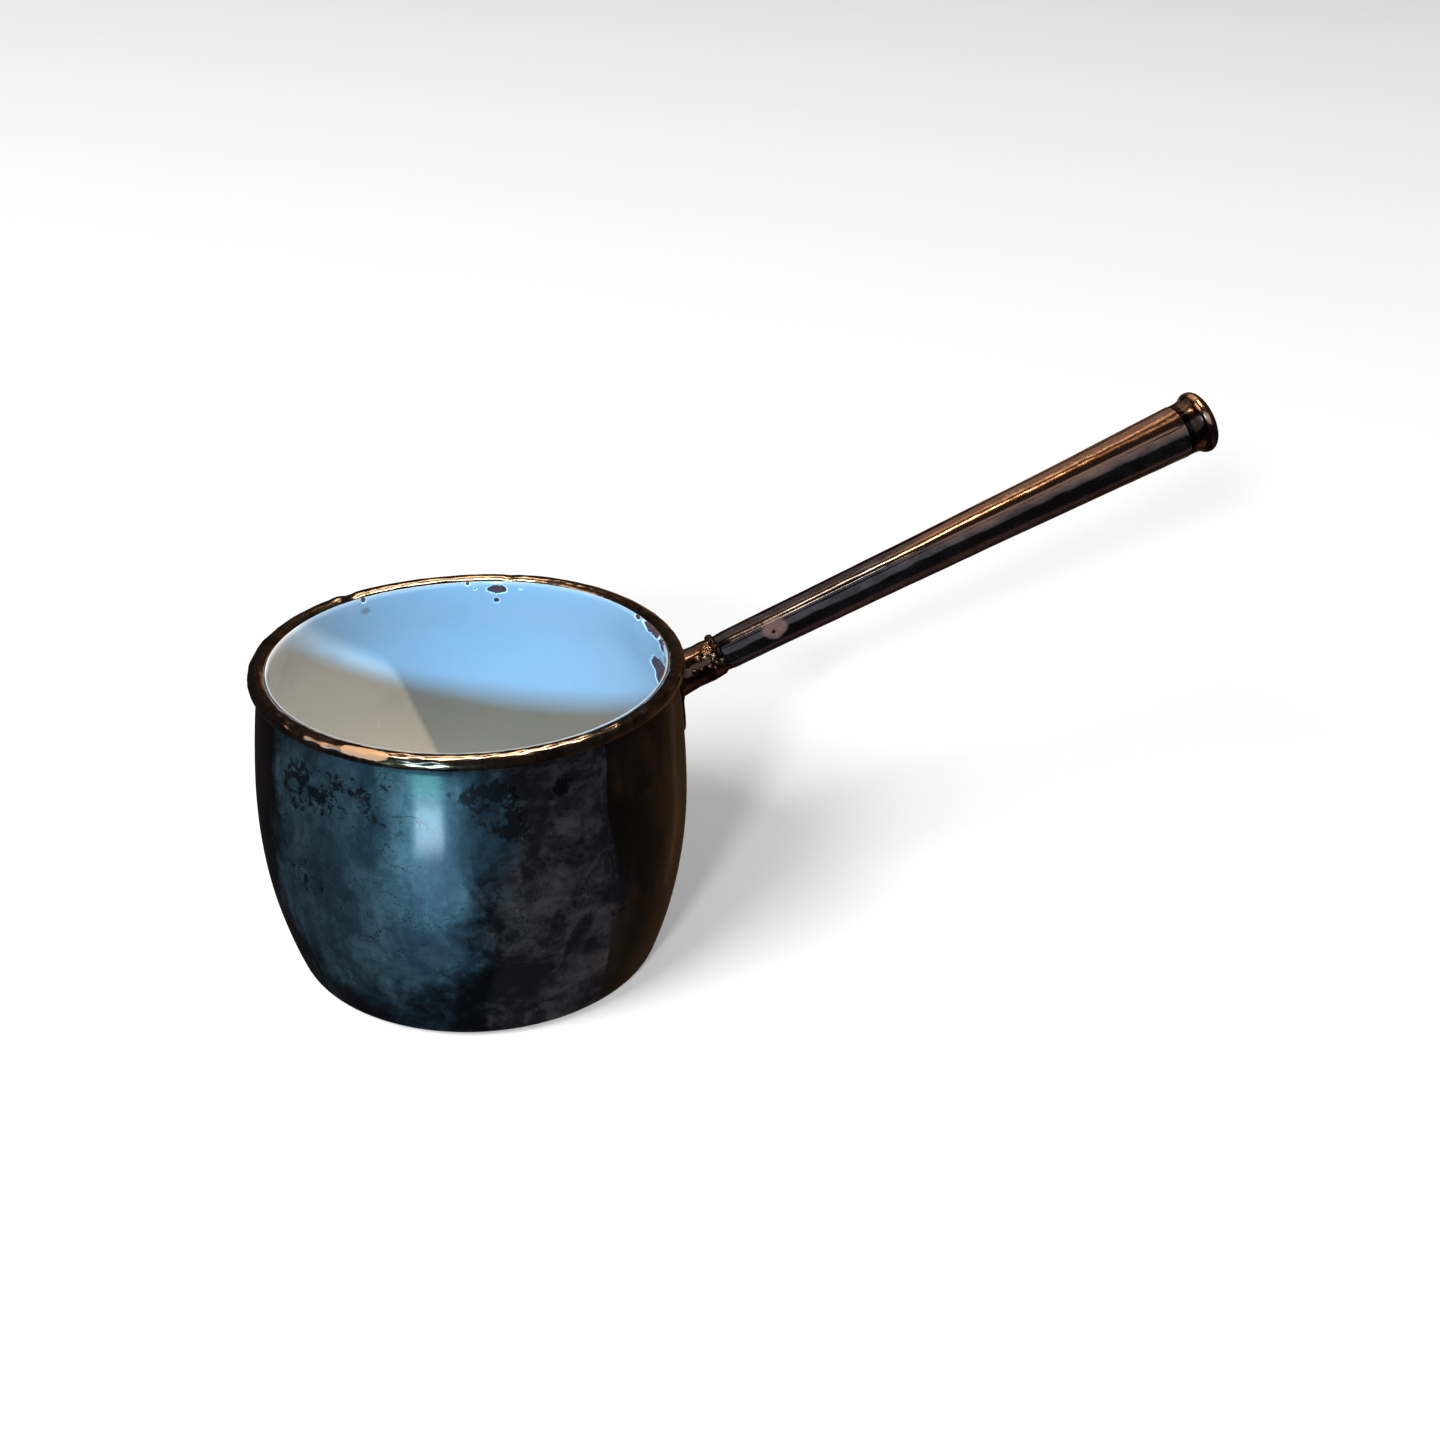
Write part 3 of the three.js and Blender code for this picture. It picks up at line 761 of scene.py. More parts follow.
    def neck(self) -> bpy.types.Object:
        """The neck: rings from a pole on the saddle to the root, up the flare, over the lip, down the socket.

        Rows share one parameter between the root, which is where lines parallel to the handle meet the
        saddle, and the mouth, so the flare follows the curved plate.
        """
        turn = np.linspace(0.0, 360.0, 192, endpoint=False)[None, :]
        seat = self.gap * 2.0 + self.thickness
        spread = np.linspace(0.06, 1.0, 10)[:, None] * self.neck_root
        foot = self.land(spread, turn, seat)
        rise = np.linspace(0.0, 1.0, 34)[1:, None]
        root = foot[-1:]
        distance = root + (self.mouth - root) * rise
        worked = 0.16 * MM * quilt(turn, distance, 71, 6, 11 * MM)
        worked = worked + 0.08 * MM * quilt(turn, distance, 72, 16, 5 * MM)
        swell = 0.25 * MM * np.exp(-((rise - 0.82) / 0.12) ** 2)
        drops = self.spatter(turn, distance)
        radius = self.neck_radius(rise) + (worked + swell) * smooth(0.0, 0.25, rise) * smooth(1.0, 0.93, rise)
        radius = radius + drops * smooth(1.0, 0.97, rise)
        lip = np.radians(np.linspace(0.0, 180.0, 9))[1:, None]
        thick = (self.neck_mouth - self.socket) / 2.0
        lip_radius = self.socket + thick + thick * np.cos(lip)
        lip_distance = self.mouth + 0.5 * thick * np.sin(lip)
        down = np.linspace(self.mouth, self.socket_floor, 8)[1:, None]
        inner = np.linspace(1.0, 0.08, 5)[:, None] * self.socket
        rows_distance = [foot, distance, lip_distance, down, np.full((5, 1), self.socket_floor)]
        rows_radius = [spread, radius, lip_radius, np.full((7, 1), self.socket), inner]
        shape = turn.shape[1]
        d = np.concatenate([np.broadcast_to(row, (row.shape[0], shape)) for row in rows_distance])
        r = np.concatenate([np.broadcast_to(row, (row.shape[0], shape)) for row in rows_radius])
        drop = self.line.under * self.neck_drop
        grid = self.line.place(d, r, turn) + drop
        start = self.line.place(foot[0].mean(), np.array(0.0), np.array(0.0)) + drop
        end = self.line.place(np.array(self.socket_floor), np.array(0.0), np.array(0.0)) + drop
        # The braze drops are coloured bright copper: partly wear on their tops, partly painted glints.
        wear_and_highlight = np.zeros(d.shape)
        wear_and_highlight[len(foot):len(foot) + len(rise)] = np.clip(drops / (0.4 * MM), 0.0, 1.0)
        # Painted shade: the neck's underside is darkened near black.
        soot_and_painted_shade = 0.95 * bell(turn, 345.0, 72.0) + 0.0 * d
        return skin("hollow_neck", grid, (start, end), {"wear_and_highlight": wear_and_highlight, "groove": soot_and_painted_shade})

    def spatter(self, turn: Array, distance: Array) -> Array:
        """Drops of braze on the neck: a sum of small round hills, each exp(-(distance from it / size)^2)."""
        total = np.zeros(np.broadcast_shapes(turn.shape, distance.shape))
        for drop in self.drops:
            across = np.radians(turn_between(turn, drop.turn)) * self.neck_mouth
            away = (across ** 2 + (distance - drop.distance * MM) ** 2) / (drop.size * MM) ** 2
            total = total + drop.height * MM * np.exp(-away ** 1.5)
        return total

    def root_braze(self) -> bpy.types.Object:
        """The fillet where the neck meets the saddle: a hollow three-sided section carried round the root.

        The visible side is the concave curve r = edge - spread * sin t, lift = climb * (1 - cos t), which
        leaves the neck and runs out on the plate; the spread and climb waver round the root.
        """
        turn = np.linspace(0.0, 360.0, 240, endpoint=False)[None, :]
        seat = self.gap + self.thickness
        spread = self.fillet * (0.75 + 0.22 * ripple(turn, 81, 2, 11))
        climb = self.fillet_climb * (1.0 + 0.35 * ripple(turn, 82, 2, 13))
        t = np.radians(np.linspace(0.0, 90.0, 12))[:, None]
        near = self.neck_root + 0.02 * MM
        radius = near + spread * (1.0 - np.cos(t))
        lift = seat + 0.12 * MM + climb * (1.0 - np.sin(t)) ** 1.2
        lumps = 0.12 * MM * quilt(turn, radius * 2.0, 83, 26, 3 * MM)
        back = np.linspace(1.0, 0.0, 7)[1:, None]
        radius = np.concatenate([radius + 0 * turn, near + spread * back, near + 0 * turn])
        underneath = seat + 0.02 * MM + 0 * (spread * back)
        lift = np.concatenate([lift + lumps * np.sin(2 * t), underneath, seat + climb * 0.5])
        outer = self.land(radius, turn, 0.0)
        grid = self.line.place(outer, radius, turn) + self.line.under * self.neck_drop
        flat = np.hypot(grid[..., 0], grid[..., 1])
        grow = (flat + lift) / flat
        grid = np.stack([grid[..., 0] * grow, grid[..., 1] * grow, grid[..., 2]], axis=-1)
        return skin("root_fillet", grid)

    def bead(self) -> bpy.types.Object:
        """The braze bead between neck and tube: a half-round section carried round, with blobs on its top."""
        turn = np.linspace(-180.0, 180.0, 360, endpoint=False)[None, :]
        t = np.radians(np.linspace(0.0, 360.0, 33)[:-1])[:, None]
        wide = self.bead_width * (1.0 + 0.22 * ripple(turn, 91, 3, 16))
        tall = self.bead_height * (1.0 + 0.30 * ripple(turn, 92, 4, 22))
        blobs = knocked(turn, self.blobs)
        out = np.maximum(np.cos(t), -0.35)
        radius = self.bead_radius + (tall + 0.55 * blobs) * out
        radius = radius + 0.08 * MM * ripple(turn + 40 * np.sin(t), 93, 12, 60)
        distance = self.line.bead_middle + (wide + 0.5 * blobs) * np.sin(t) - 0.35 * blobs
        distance = distance + 0.4 * MM * ripple(turn, 94, 2, 9)
        return skin("braze_bead", self.line.place(distance, radius, turn))


@dataclass
class Handle:
    """The hollow tapered tube and the cap that closes its far end."""
    line: HandleLine
    shoulder: float = 21.5 * MM
    end: float = 224.0 * MM
    start_radius: float = 7.2 * MM
    end_radius: float = 10.6 * MM
    late_flare: float = 1.2 * MM
    swage: float = 0.3 * MM
    swage_length: float = 4.5 * MM
    wall: float = 1.0 * MM
    spigot: float = 5.8 * MM
    spigot_start: float = 9.0 * MM
    seam_turn: float = -137.0
    seam_drift: float = 4.0
    # Angle and span of the brown top band with its painted warm sheen.
    brown_and_sheen_turn: float = -158.0
    brown_and_sheen_span: float = 44.0
    patch_distance: float = 44.0 * MM
    patch_turn: float = -118.0
    patch_half_length: float = 5.2 * MM
    patch_half_width: float = 4.6 * MM
    vent_distance: float = 43.0 * MM
    vent_angle: float = -110.0
    vent_radius: float = 0.62 * MM
    plug: float = 7.0 * MM
    waist: float = 10.4 * MM
    lip: float = 12.5 * MM
    lip_roll: float = 2.8 * MM
    lip_centre: float = 233.2 * MM
    lip_start: float = -38.0
    dish: float = 1.2 * MM
    dish_step: float = 1.2 * MM
    pole_hole: float = 0.4 * MM
    knocks: tuple[Knock, ...] = (
        Knock(-150.0, 9.0, -0.22 * MM), Knock(-95.0, 7.0, -0.18 * MM), Knock(40.0, 12.0, -0.2 * MM),
        Knock(170.0, 6.0, -0.15 * MM),
    )

    def tube_radius(self, distance: Array) -> Array:
        """Outside radius: a straight taper plus a cubic that comes late, less a swage beside the bead."""
        along = (distance - self.shoulder) / (self.end - self.shoulder)
        steady = self.end_radius - self.start_radius - self.late_flare
        swage = self.swage * np.clip(1.0 - (distance - self.shoulder) / self.swage_length, 0.0, 1.0)
        return self.start_radius + steady * along + self.late_flare * along ** 3 - swage

    def crowd(self, low: float, high: float, centre: float, width: float, boost: float, count: int) -> Array:
        """Values from low to high that crowd round centre: the inverse of the sum of 1 + boost * bell."""
        fine = np.linspace(low, high, 6001)
        density = 1.0 + boost * np.exp(-((fine - centre) / width) ** 2)
        total = np.concatenate([[0.0], np.cumsum((density[1:] + density[:-1]) / 2.0)])
        return np.interp(np.linspace(0.0, total[-1], count), total, fine)

    def tube(self) -> bpy.types.Object:
        """The tube: out along the spigot and the taper, round the end and back inside, as a closed ring.

        The outside radius is the taper times a slight three- and five-sided wave, plus a fine seam line
        and shallow dents; the vent is a pit whose depth falls off steeply at its radius.
        """
        turn = self.crowd(-180.0, 180.0, self.vent_angle, 7.0, 7.0, 337)[:-1][None, :]
        first, last = self.shoulder + 0.5 * MM, self.end - 0.4 * MM
        d = self.crowd(first, last, self.vent_distance, 1.1 * MM, 8.0, 190)[:, None]
        flats = 0.10 * MM * np.cos(np.radians(3.0 * (turn + 20.0)))
        flats = flats + 0.06 * MM * np.cos(np.radians(5.0 * (turn - 75.0)))
        seam_at = self.seam_turn + self.seam_drift * smooth(60 * MM, 200 * MM, d)
        seam = 0.11 * MM * bell(turn, seam_at, 2.4) - 0.05 * MM * bell(turn, seam_at + 5.0, 2.6)
        dents = 0.10 * MM * quilt(turn, d, 101, 4, 45 * MM) + 0.03 * MM * quilt(turn, d, 102, 14, 10 * MM)
        ease = smooth(self.shoulder, self.shoulder + 5 * MM, d) * smooth(self.end, self.end - 8 * MM, d)
        across = np.radians(turn_between(turn, self.vent_angle)) * self.tube_radius(d)
        away = np.hypot(across, d - self.vent_distance)
        pit = 0.85 * MM * smooth(self.vent_radius * 1.25, self.vent_radius * 0.7, away)
        ring = 0.05 * MM * np.exp(-((away - 1.1 * MM) / (0.4 * MM)) ** 2)
        outer = self.tube_radius(d) + (flats + seam + dents) * ease - pit + ring
        cut = np.radians(np.linspace(90.0, -90.0, 7))[:, None]
        end_radius = self.tube_radius(np.array(self.end)) - self.wall / 2.0 + self.wall / 2.0 * np.sin(cut)
        end_distance = self.end - 0.3 * MM + 0.3 * MM * np.cos(cut)
        inner = np.linspace(self.end - 1 * MM, self.shoulder + self.wall, 24)[:, None]
        spigot_in = np.linspace(self.shoulder, self.spigot_start, 6)[:, None]
        spigot_out = np.linspace(self.spigot_start, self.shoulder - 0.2 * MM, 6)[:, None]
        step_distance = np.array([[self.shoulder], [self.shoulder + 0.12 * MM]])
        step_radius = np.array([[self.spigot + 0.4 * MM], [self.start_radius - 0.5 * MM]])
        bore = self.spigot - self.wall
        rows = [
            (d, outer), (end_distance, end_radius), (inner, self.tube_radius(inner) - self.wall),
            (spigot_in, np.full((6, 1), bore)), (spigot_out, np.full((6, 1), self.spigot)),
            (step_distance, step_radius),
        ]
        shape = turn.shape[1]
        distance = np.concatenate([np.broadcast_to(a, (a.shape[0], shape)) for a, _ in rows])
        radius = np.concatenate([np.broadcast_to(b, (b.shape[0], shape)) for _, b in rows])
        return skin("handle_shaft", self.line.place(distance, radius, turn), None, self.wear(distance, turn))

    def wear(self, distance: Array, turn: Array) -> dict[str, Array]:
        """Fields for the tube's finish, from 0 to 1: brown top band with painted sheen, pink bare patch and
        painted shade in the vent.
        """
        turn = np.broadcast_to(turn, distance.shape)
        # Brown top band: the copper's own brown kept to the upper side as a painted warm sheen where light
        # from above falls.
        brown_and_sheen = smooth(60 * MM, 150 * MM, distance) * bell(turn, self.brown_and_sheen_turn, self.brown_and_sheen_span)
        along = distance - self.patch_distance
        across = np.radians(turn_between(turn, self.patch_turn)) * 8.0 * MM
        patch = np.sqrt((along / self.patch_half_length) ** 2 + (across / self.patch_half_width) ** 2)
        patch = patch + 0.08 * ripple(np.degrees(np.arctan2(across, along)), 111, 2, 7)
        # The vent is a shallow pit; near-black painted shade stands in for its depth.
        vent_shade = np.hypot(np.radians(turn_between(turn, self.vent_angle)) * self.tube_radius(distance),
                        distance - self.vent_distance)
        return {"brown_and_sheen": brown_and_sheen, "patch": smooth(1.35, 0.55, patch),
                "vent_shade": smooth(1.25, 0.95, vent_shade / self.vent_radius)}

    def cap(self) -> bpy.types.Object:
        """The cap, turned about the line: plug, groove, flaring waist, fat rolled lip and dished end.

        The waist is a quadratic (Bezier) curve from the groove to where the lip's arc starts.
        """
        foot = self.end - self.plug
        plug_radius = float(self.tube_radius(np.array(foot))) - self.wall - 0.3 * MM
        start = self.end + 0.3 * MM
        centre = (self.lip - self.lip_roll, self.lip_centre)
        lean = math.radians(self.lip_start)
        waist_top = (centre[0] + self.lip_roll * math.cos(lean), centre[1] + self.lip_roll * math.sin(lean))
        t = np.linspace(0.0, 1.0, 16)[:, None]
        p0 = np.array([self.waist, start + 1.0 * MM])
        p1 = np.array([self.waist - 0.1 * MM, waist_top[1] - 1.2 * MM])
        flare = (1 - t) ** 2 * p0 + 2 * t * (1 - t) * p1 + t ** 2 * np.array(waist_top)
        rim = centre[1] + self.lip_roll - self.dish
        dish_radius = centre[0] - self.lip_roll * 0.8 - self.dish_step
        outline = chain(
            straight((self.pole_hole, foot), (plug_radius, foot), 5),
            straight((plug_radius, foot), (plug_radius, start), 5),
            straight((plug_radius, start), (self.waist - 0.9 * MM, start), 3),
            arc((self.waist - 0.5 * MM, start + 0.5 * MM), (0.5 * MM, 0.5 * MM), -90.0, 0.0, 6),
            flare,
            arc(centre, (self.lip_roll, self.lip_roll), self.lip_start, 90.0, 26),
            arc((centre[0], rim), (self.lip_roll * 0.8, self.dish), 90.0, 180.0, 9),
            arc((dish_radius, rim), (self.dish_step, 0.35 * MM), 0.0, -90.0, 6),
            straight((dish_radius, rim - 0.35 * MM), (self.pole_hole, rim - 0.1 * MM), 8),
        )
        turn = np.linspace(-180.0, 180.0, 240, endpoint=False)[None, :]
        r, d = outline[:, :1], outline[:, 1:]
        on_lip = smooth(self.lip - 2.2 * MM, self.lip, r)
        worked = 0.06 * MM * ripple(turn, 121, 2, 12) * smooth(4 * MM, 10 * MM, r)
        radius = r + (worked + knocked(turn, self.knocks) * on_lip)
        grid = self.line.place(d, radius, turn)
        ends = self.line.place(np.array([outline[0, 1], outline[-1, 1]]), np.zeros(2), np.zeros(2))
        # The lip's edge is bright copper all round as wear, and brighter on its top as a painted highlight.
        wear_and_highlight = smooth(self.lip - 1.6 * MM, self.lip - 0.3 * MM, r) * (0.35 + 0.65 * bell(turn, 180.0, 62.0))
        # Painted shade: the groove between tube and cap is darkened near black.
        groove = smooth(2.6 * MM, 0.6 * MM, np.abs(d - self.end - 0.6 * MM))
        fields = {"wear_and_highlight": wear_and_highlight, "groove": groove}
        fields = {key: np.broadcast_to(value, radius.shape).copy() for key, value in fields.items()}
        return skin("end_cap", grid, (ends[0], ends[1]), fields)


# ------------------------------------------------------------------ node boards

Socket = bpy.types.NodeSocket
Value = float | Socket
Colour = tuple[float, float, float]


class Board:
    """The node board of one material, with a short method for each kind of node the finishes use."""

    def __init__(self, name: str) -> None:
        """Makes the material with an empty board, a surface shader and its output."""
        self.material = bpy.data.materials.new(name)
        self.material.use_nodes = True
        self.nodes = self.material.node_tree.nodes
        self.links = self.material.node_tree.links
        self.nodes.clear()
        self.shader = self.nodes.new("ShaderNodeBsdfPrincipled")
        output = self.nodes.new("ShaderNodeOutputMaterial")
        self.links.new(self.shader.outputs[0], output.inputs[0])
        self.place = self.nodes.new("ShaderNodeTexCoord").outputs["Object"]

    def feed(self, target: Socket, value: Value | Colour) -> None:
        """Links a socket to another, or sets it to a number or a colour."""
        if isinstance(value, Socket):
            self.links.new(value, target)
        elif isinstance(value, tuple):
            target.default_value = (*value, 1.0) if len(target.default_value) == 4 else value
        else:
            target.default_value = value

    def stretched(self, scale: Colour, turn: Colour = (0.0, 0.0, 0.0)) -> Socket:
        """The object's own coordinates, turned by angles in radians and scaled along each axis."""
        node = self.nodes.new("ShaderNodeMapping")
        node.inputs["Scale"].default_value = scale
        node.inputs["Rotation"].default_value = turn
        self.links.new(self.place, node.inputs["Vector"])
        return node.outputs[0]

    def noise(self, scale: float, detail: float = 6.0, roughness: float = 0.55, distortion: float = 0.0,
              vector: Socket | None = None) -> Socket:
        """Cloudy noise; scale is in cells per metre before any stretching."""
        node = self.nodes.new("ShaderNodeTexNoise")
        self.links.new(vector or self.place, node.inputs["Vector"])
        settings = {"Scale": scale, "Detail": detail, "Roughness": roughness, "Distortion": distortion}
        for key, value in settings.items():
            node.inputs[key].default_value = value
        return node.outputs[0]

    def field(self, name: str) -> Socket:
        """A value kept on the mesh's points."""
        node = self.nodes.new("ShaderNodeAttribute")
        node.attribute_name = name
        return node.outputs["Fac"]

    def math(self, operation: str, *values: Value) -> Socket:
        """One node of arithmetic on up to three values."""
        node = self.nodes.new("ShaderNodeMath")
        node.operation = operation
        for socket, value in zip(node.inputs, values):
            self.feed(socket, value)
        return node.outputs[0]

    def times(self, a: Value, b: Value) -> Socket:
        """The product of two values."""
        return self.math("MULTIPLY", a, b)

    def sum(self, value: Value, *terms: tuple[float, Socket]) -> Socket:
        """value plus each term's weight times its socket less a half."""
        for weight, socket in terms:
            value = self.math("MULTIPLY_ADD", socket, weight, self.math("ADD", value, -0.5 * weight))
        return value

    def near(self, value: Socket, level: float, width: float) -> Socket:
        """1 where value is at level, falling to 0 once it is width away: thin lines along a contour."""
        apart = self.math("ABSOLUTE", self.math("SUBTRACT", value, level))
        return self.step(apart, width, 0.2 * width)

    def step(self, value: Value, low: float, high: float) -> Socket:
        """0 below low, 1 above high, smooth between; low may be above high."""
        node = self.nodes.new("ShaderNodeMapRange")
        node.interpolation_type = "SMOOTHSTEP"
        self.feed(node.inputs["Value"], value)
        rising = low < high
        node.inputs["From Min"].default_value = min(low, high)
        node.inputs["From Max"].default_value = max(low, high)
        node.inputs["To Min"].default_value = 0.0 if rising else 1.0
        node.inputs["To Max"].default_value = 1.0 if rising else 0.0
        return node.outputs[0]

    def range(self, value: Value, low: float, high: float) -> Socket:
        """Maps 0..1 onto low..high in a straight line."""
        node = self.nodes.new("ShaderNodeMapRange")
        self.feed(node.inputs["Value"], value)
        node.inputs["To Min"].default_value = low
        node.inputs["To Max"].default_value = high
        return node.outputs[0]

    def mix(self, factor: Value, a: Colour | Socket, b: Colour | Socket) -> Socket:
        """A colour that goes from a to b as factor goes from 0 to 1."""
        node = self.nodes.new("ShaderNodeMix")
        node.data_type = "RGBA"
        self.feed(node.inputs[0], factor)
        self.feed(node.inputs[6], a)
        self.feed(node.inputs[7], b)
        return node.outputs[2]

    def between(self, factor: Value, a: Value, b: Value) -> Socket:
        """A number that goes from a to b as factor goes from 0 to 1."""
        node = self.nodes.new("ShaderNodeMix")
        node.data_type = "FLOAT"
        self.feed(node.inputs[0], factor)
        self.feed(node.inputs[2], a)
        self.feed(node.inputs[3], b)
        return node.outputs[0]

    def ramp(self, value: Value, stops: tuple[tuple[float, Colour], ...]) -> Socket:
        """A colour read off a row of stops."""
        node = self.nodes.new("ShaderNodeValToRGB")
        elements = node.color_ramp.elements
        while len(elements) < len(stops):
            elements.new(0.5)
        for element, (at, colour) in zip(elements, stops):
            element.position = at
            element.color = (*colour, 1.0)
        self.feed(node.inputs[0], value)
        return node.outputs[0]

    def bump(self, height: Socket, distance: float, strength: float = 1.0,
             normal: Socket | None = None) -> Socket:
        """A normal tilted by a height pattern whose full range is distance metres."""
        node = self.nodes.new("ShaderNodeBump")
        node.inputs["Strength"].default_value = strength
        node.inputs["Distance"].default_value = distance
        self.links.new(height, node.inputs["Height"])
        if normal is not None:
            self.links.new(normal, node.inputs["Normal"])
        return node.outputs[0]

    def finish(self, **sockets: Value | Colour) -> bpy.types.Material:
        """Feeds the shader's sockets by name, with _ for a space, and returns the material."""
        for key, value in sockets.items():
            self.feed(self.shader.inputs[key.replace("_", " ")], value)
        return self.material


class Slot(Enum):
    """The record's material slots."""
    TARNISH = "tarnished_copper"
    WIRE = "iron_wire"
    GROUND = "ground_enamel"
    COVER = "cover_enamel"
    BROWN = "brown_copper"
    BRAZE = "braze"
    HANDLE = "handle_copper"


# ------------------------------------------------------------------ finishes

@dataclass(frozen=True)
class TarnishedCopper:
    """Old copper under a steel-blue tarnish that has flaked to black, going plum and brown round the side;
    the blue is partly painted window sheen, the plum is painted reflection and the brown partly painted warm
    reflection.
    """
    # Tones of the blue tarnish, partly painted window sheen.
    film_and_sheen_dark: Colour = (0.010, 0.018, 0.033)
    film_and_sheen_mid: Colour = (0.031, 0.064, 0.094)
    film_and_sheen_light: Colour = (0.090, 0.154, 0.192)
    black: Colour = (0.006, 0.007, 0.011)
    # plum and plum_dark: painted reflection on the black tarnish.
    plum: Colour = (0.165, 0.138, 0.145)
    plum_dark: Colour = (0.026, 0.022, 0.031)
    # brown: painted warm reflection over the copper's own brown-black (brown_dark).
    brown: Colour = (0.060, 0.031, 0.015)
    brown_dark: Colour = (0.014, 0.010, 0.008)
    roll: Colour = (0.52, 0.34, 0.22)
    roll_dark: Colour = (0.13, 0.085, 0.062)
    bare: Colour = (0.62, 0.35, 0.20)
    dust: Colour = (0.16, 0.19, 0.21)
    coat: float = 0.35
    coat_roughness: float = 0.13

    def material(self) -> bpy.types.Material:
        """Builds the board: film, stains and brown from mesh fields, broken up by noise of several sizes.

        Returns:
            Builds the board: the blue, the plum and the brown, all partly painted reflection, and the stains
                from mesh fields, broken up by noise of several sizes.
        """
        b = Board(Slot.TARNISH.value)
        broad = b.noise(26.0, 4.0, 0.5, 0.2)
        cloud = b.noise(75.0, 9.0, 0.64, 0.8)
        flakes = b.noise(210.0, 10.0, 0.72, 1.6)
        grain = b.noise(1500.0, 4.0, 0.6)
        runs = b.noise(90.0, 7.0, 0.62, 0.4, b.stretched((1.0, 1.0, 0.25)))
        wipes = b.noise(60.0, 8.0, 0.66, 0.5, b.stretched((1.0, 1.0, 3.2)))
        cracks = b.near(b.noise(48.0, 6.0, 0.6, 0.9), 0.5, 0.010)
        tone = b.sum(0.5, (0.9, broad), (0.9, runs), (0.9, cloud), (0.5, flakes), (0.25, grain))
        # Blue field: tarnish, partly painted window sheen on the side facing the window.
        film_and_sheen = b.step(b.sum(b.field("film_and_sheen"), (1.1, cloud), (0.5, flakes), (0.5, broad)), 0.18, 0.78)
        fern = b.noise(240.0, 9.0, 0.70, 0.9)
        stain = b.step(b.sum(b.field("stain"), (2.4, fern), (0.8, cloud)), 0.52, 0.60)
        lines = b.times(cracks, b.step(b.sum(0.0, (1.0, broad), (0.6, cloud)), 0.02, 0.10))
        blue = b.ramp(tone, ((0.16, self.film_and_sheen_dark), (0.50, self.film_and_sheen_mid), (0.88, self.film_and_sheen_light)))
        # Plum, painted reflection, lies on the black where the field plum is high.
        plum_tone = b.sum(0.5, (0.5, wipes), (1.5, cloud), (0.9, broad), (0.5, flakes))
        plum = b.mix(b.step(plum_tone, 0.32, 0.85), self.plum_dark, self.plum)
        smoke = b.sum(0.5, (1.2, runs), (0.8, broad), (0.5, cloud))
        brown = b.mix(b.step(smoke, 0.35, 0.80), self.brown_dark, self.brown)
        plum_at = b.step(b.sum(b.field("plum"), (0.6, cloud), (0.4, flakes)), 0.25, 0.75)
        under = b.mix(plum_at, self.black, plum)
        # The brown side, partly painted warm reflection, covers the black and the plum.
        under = b.mix(b.step(b.sum(b.field("warm"), (0.35, cloud)), 0.25, 0.75), under, brown)
        wall = b.mix(film_and_sheen, under, blue)
        wall = b.mix(b.times(stain, 0.94), wall, self.black)
        wall = b.mix(b.times(lines, 0.7), wall, self.black)
        scuffs = b.step(b.sum(0.0, (1.0, b.noise(700.0, 4.0, 0.7, 0.9))), 0.19, 0.25)
        wall = b.mix(b.times(scuffs, 0.45), wall, self.dust)
        rolled = b.mix(b.step(b.sum(0.5, (1.4, cloud), (0.8, flakes)), 0.22, 0.72), self.roll_dark, self.roll)
        on_roll = b.field("roll")
        bare = b.step(b.sum(b.field("bare"), (0.9, cloud), (0.6, flakes)), 0.40, 0.52)
        colour = b.mix(bare, b.mix(on_roll, wall, rolled), self.bare)
        rough = b.between(film_and_sheen, b.range(flakes, 0.20, 0.40), b.range(tone, 0.34, 0.50))
        rough = b.between(on_roll, rough, b.range(flakes, 0.10, 0.26))
        metal = b.between(bare, b.between(on_roll, b.between(film_and_sheen, 0.80, 0.72), 1.0), 0.30)
        relief = b.bump(cloud, 0.00025, 0.45)
        relief = b.bump(b.sum(film_and_sheen, (0.5, grain)), 0.00003, 0.6, relief)
        return b.finish(Base_Color=colour, Roughness=b.between(bare, rough, 0.45), Metallic=metal,
                        Coat_Weight=self.coat, Coat_Roughness=self.coat_roughness, Normal=relief)


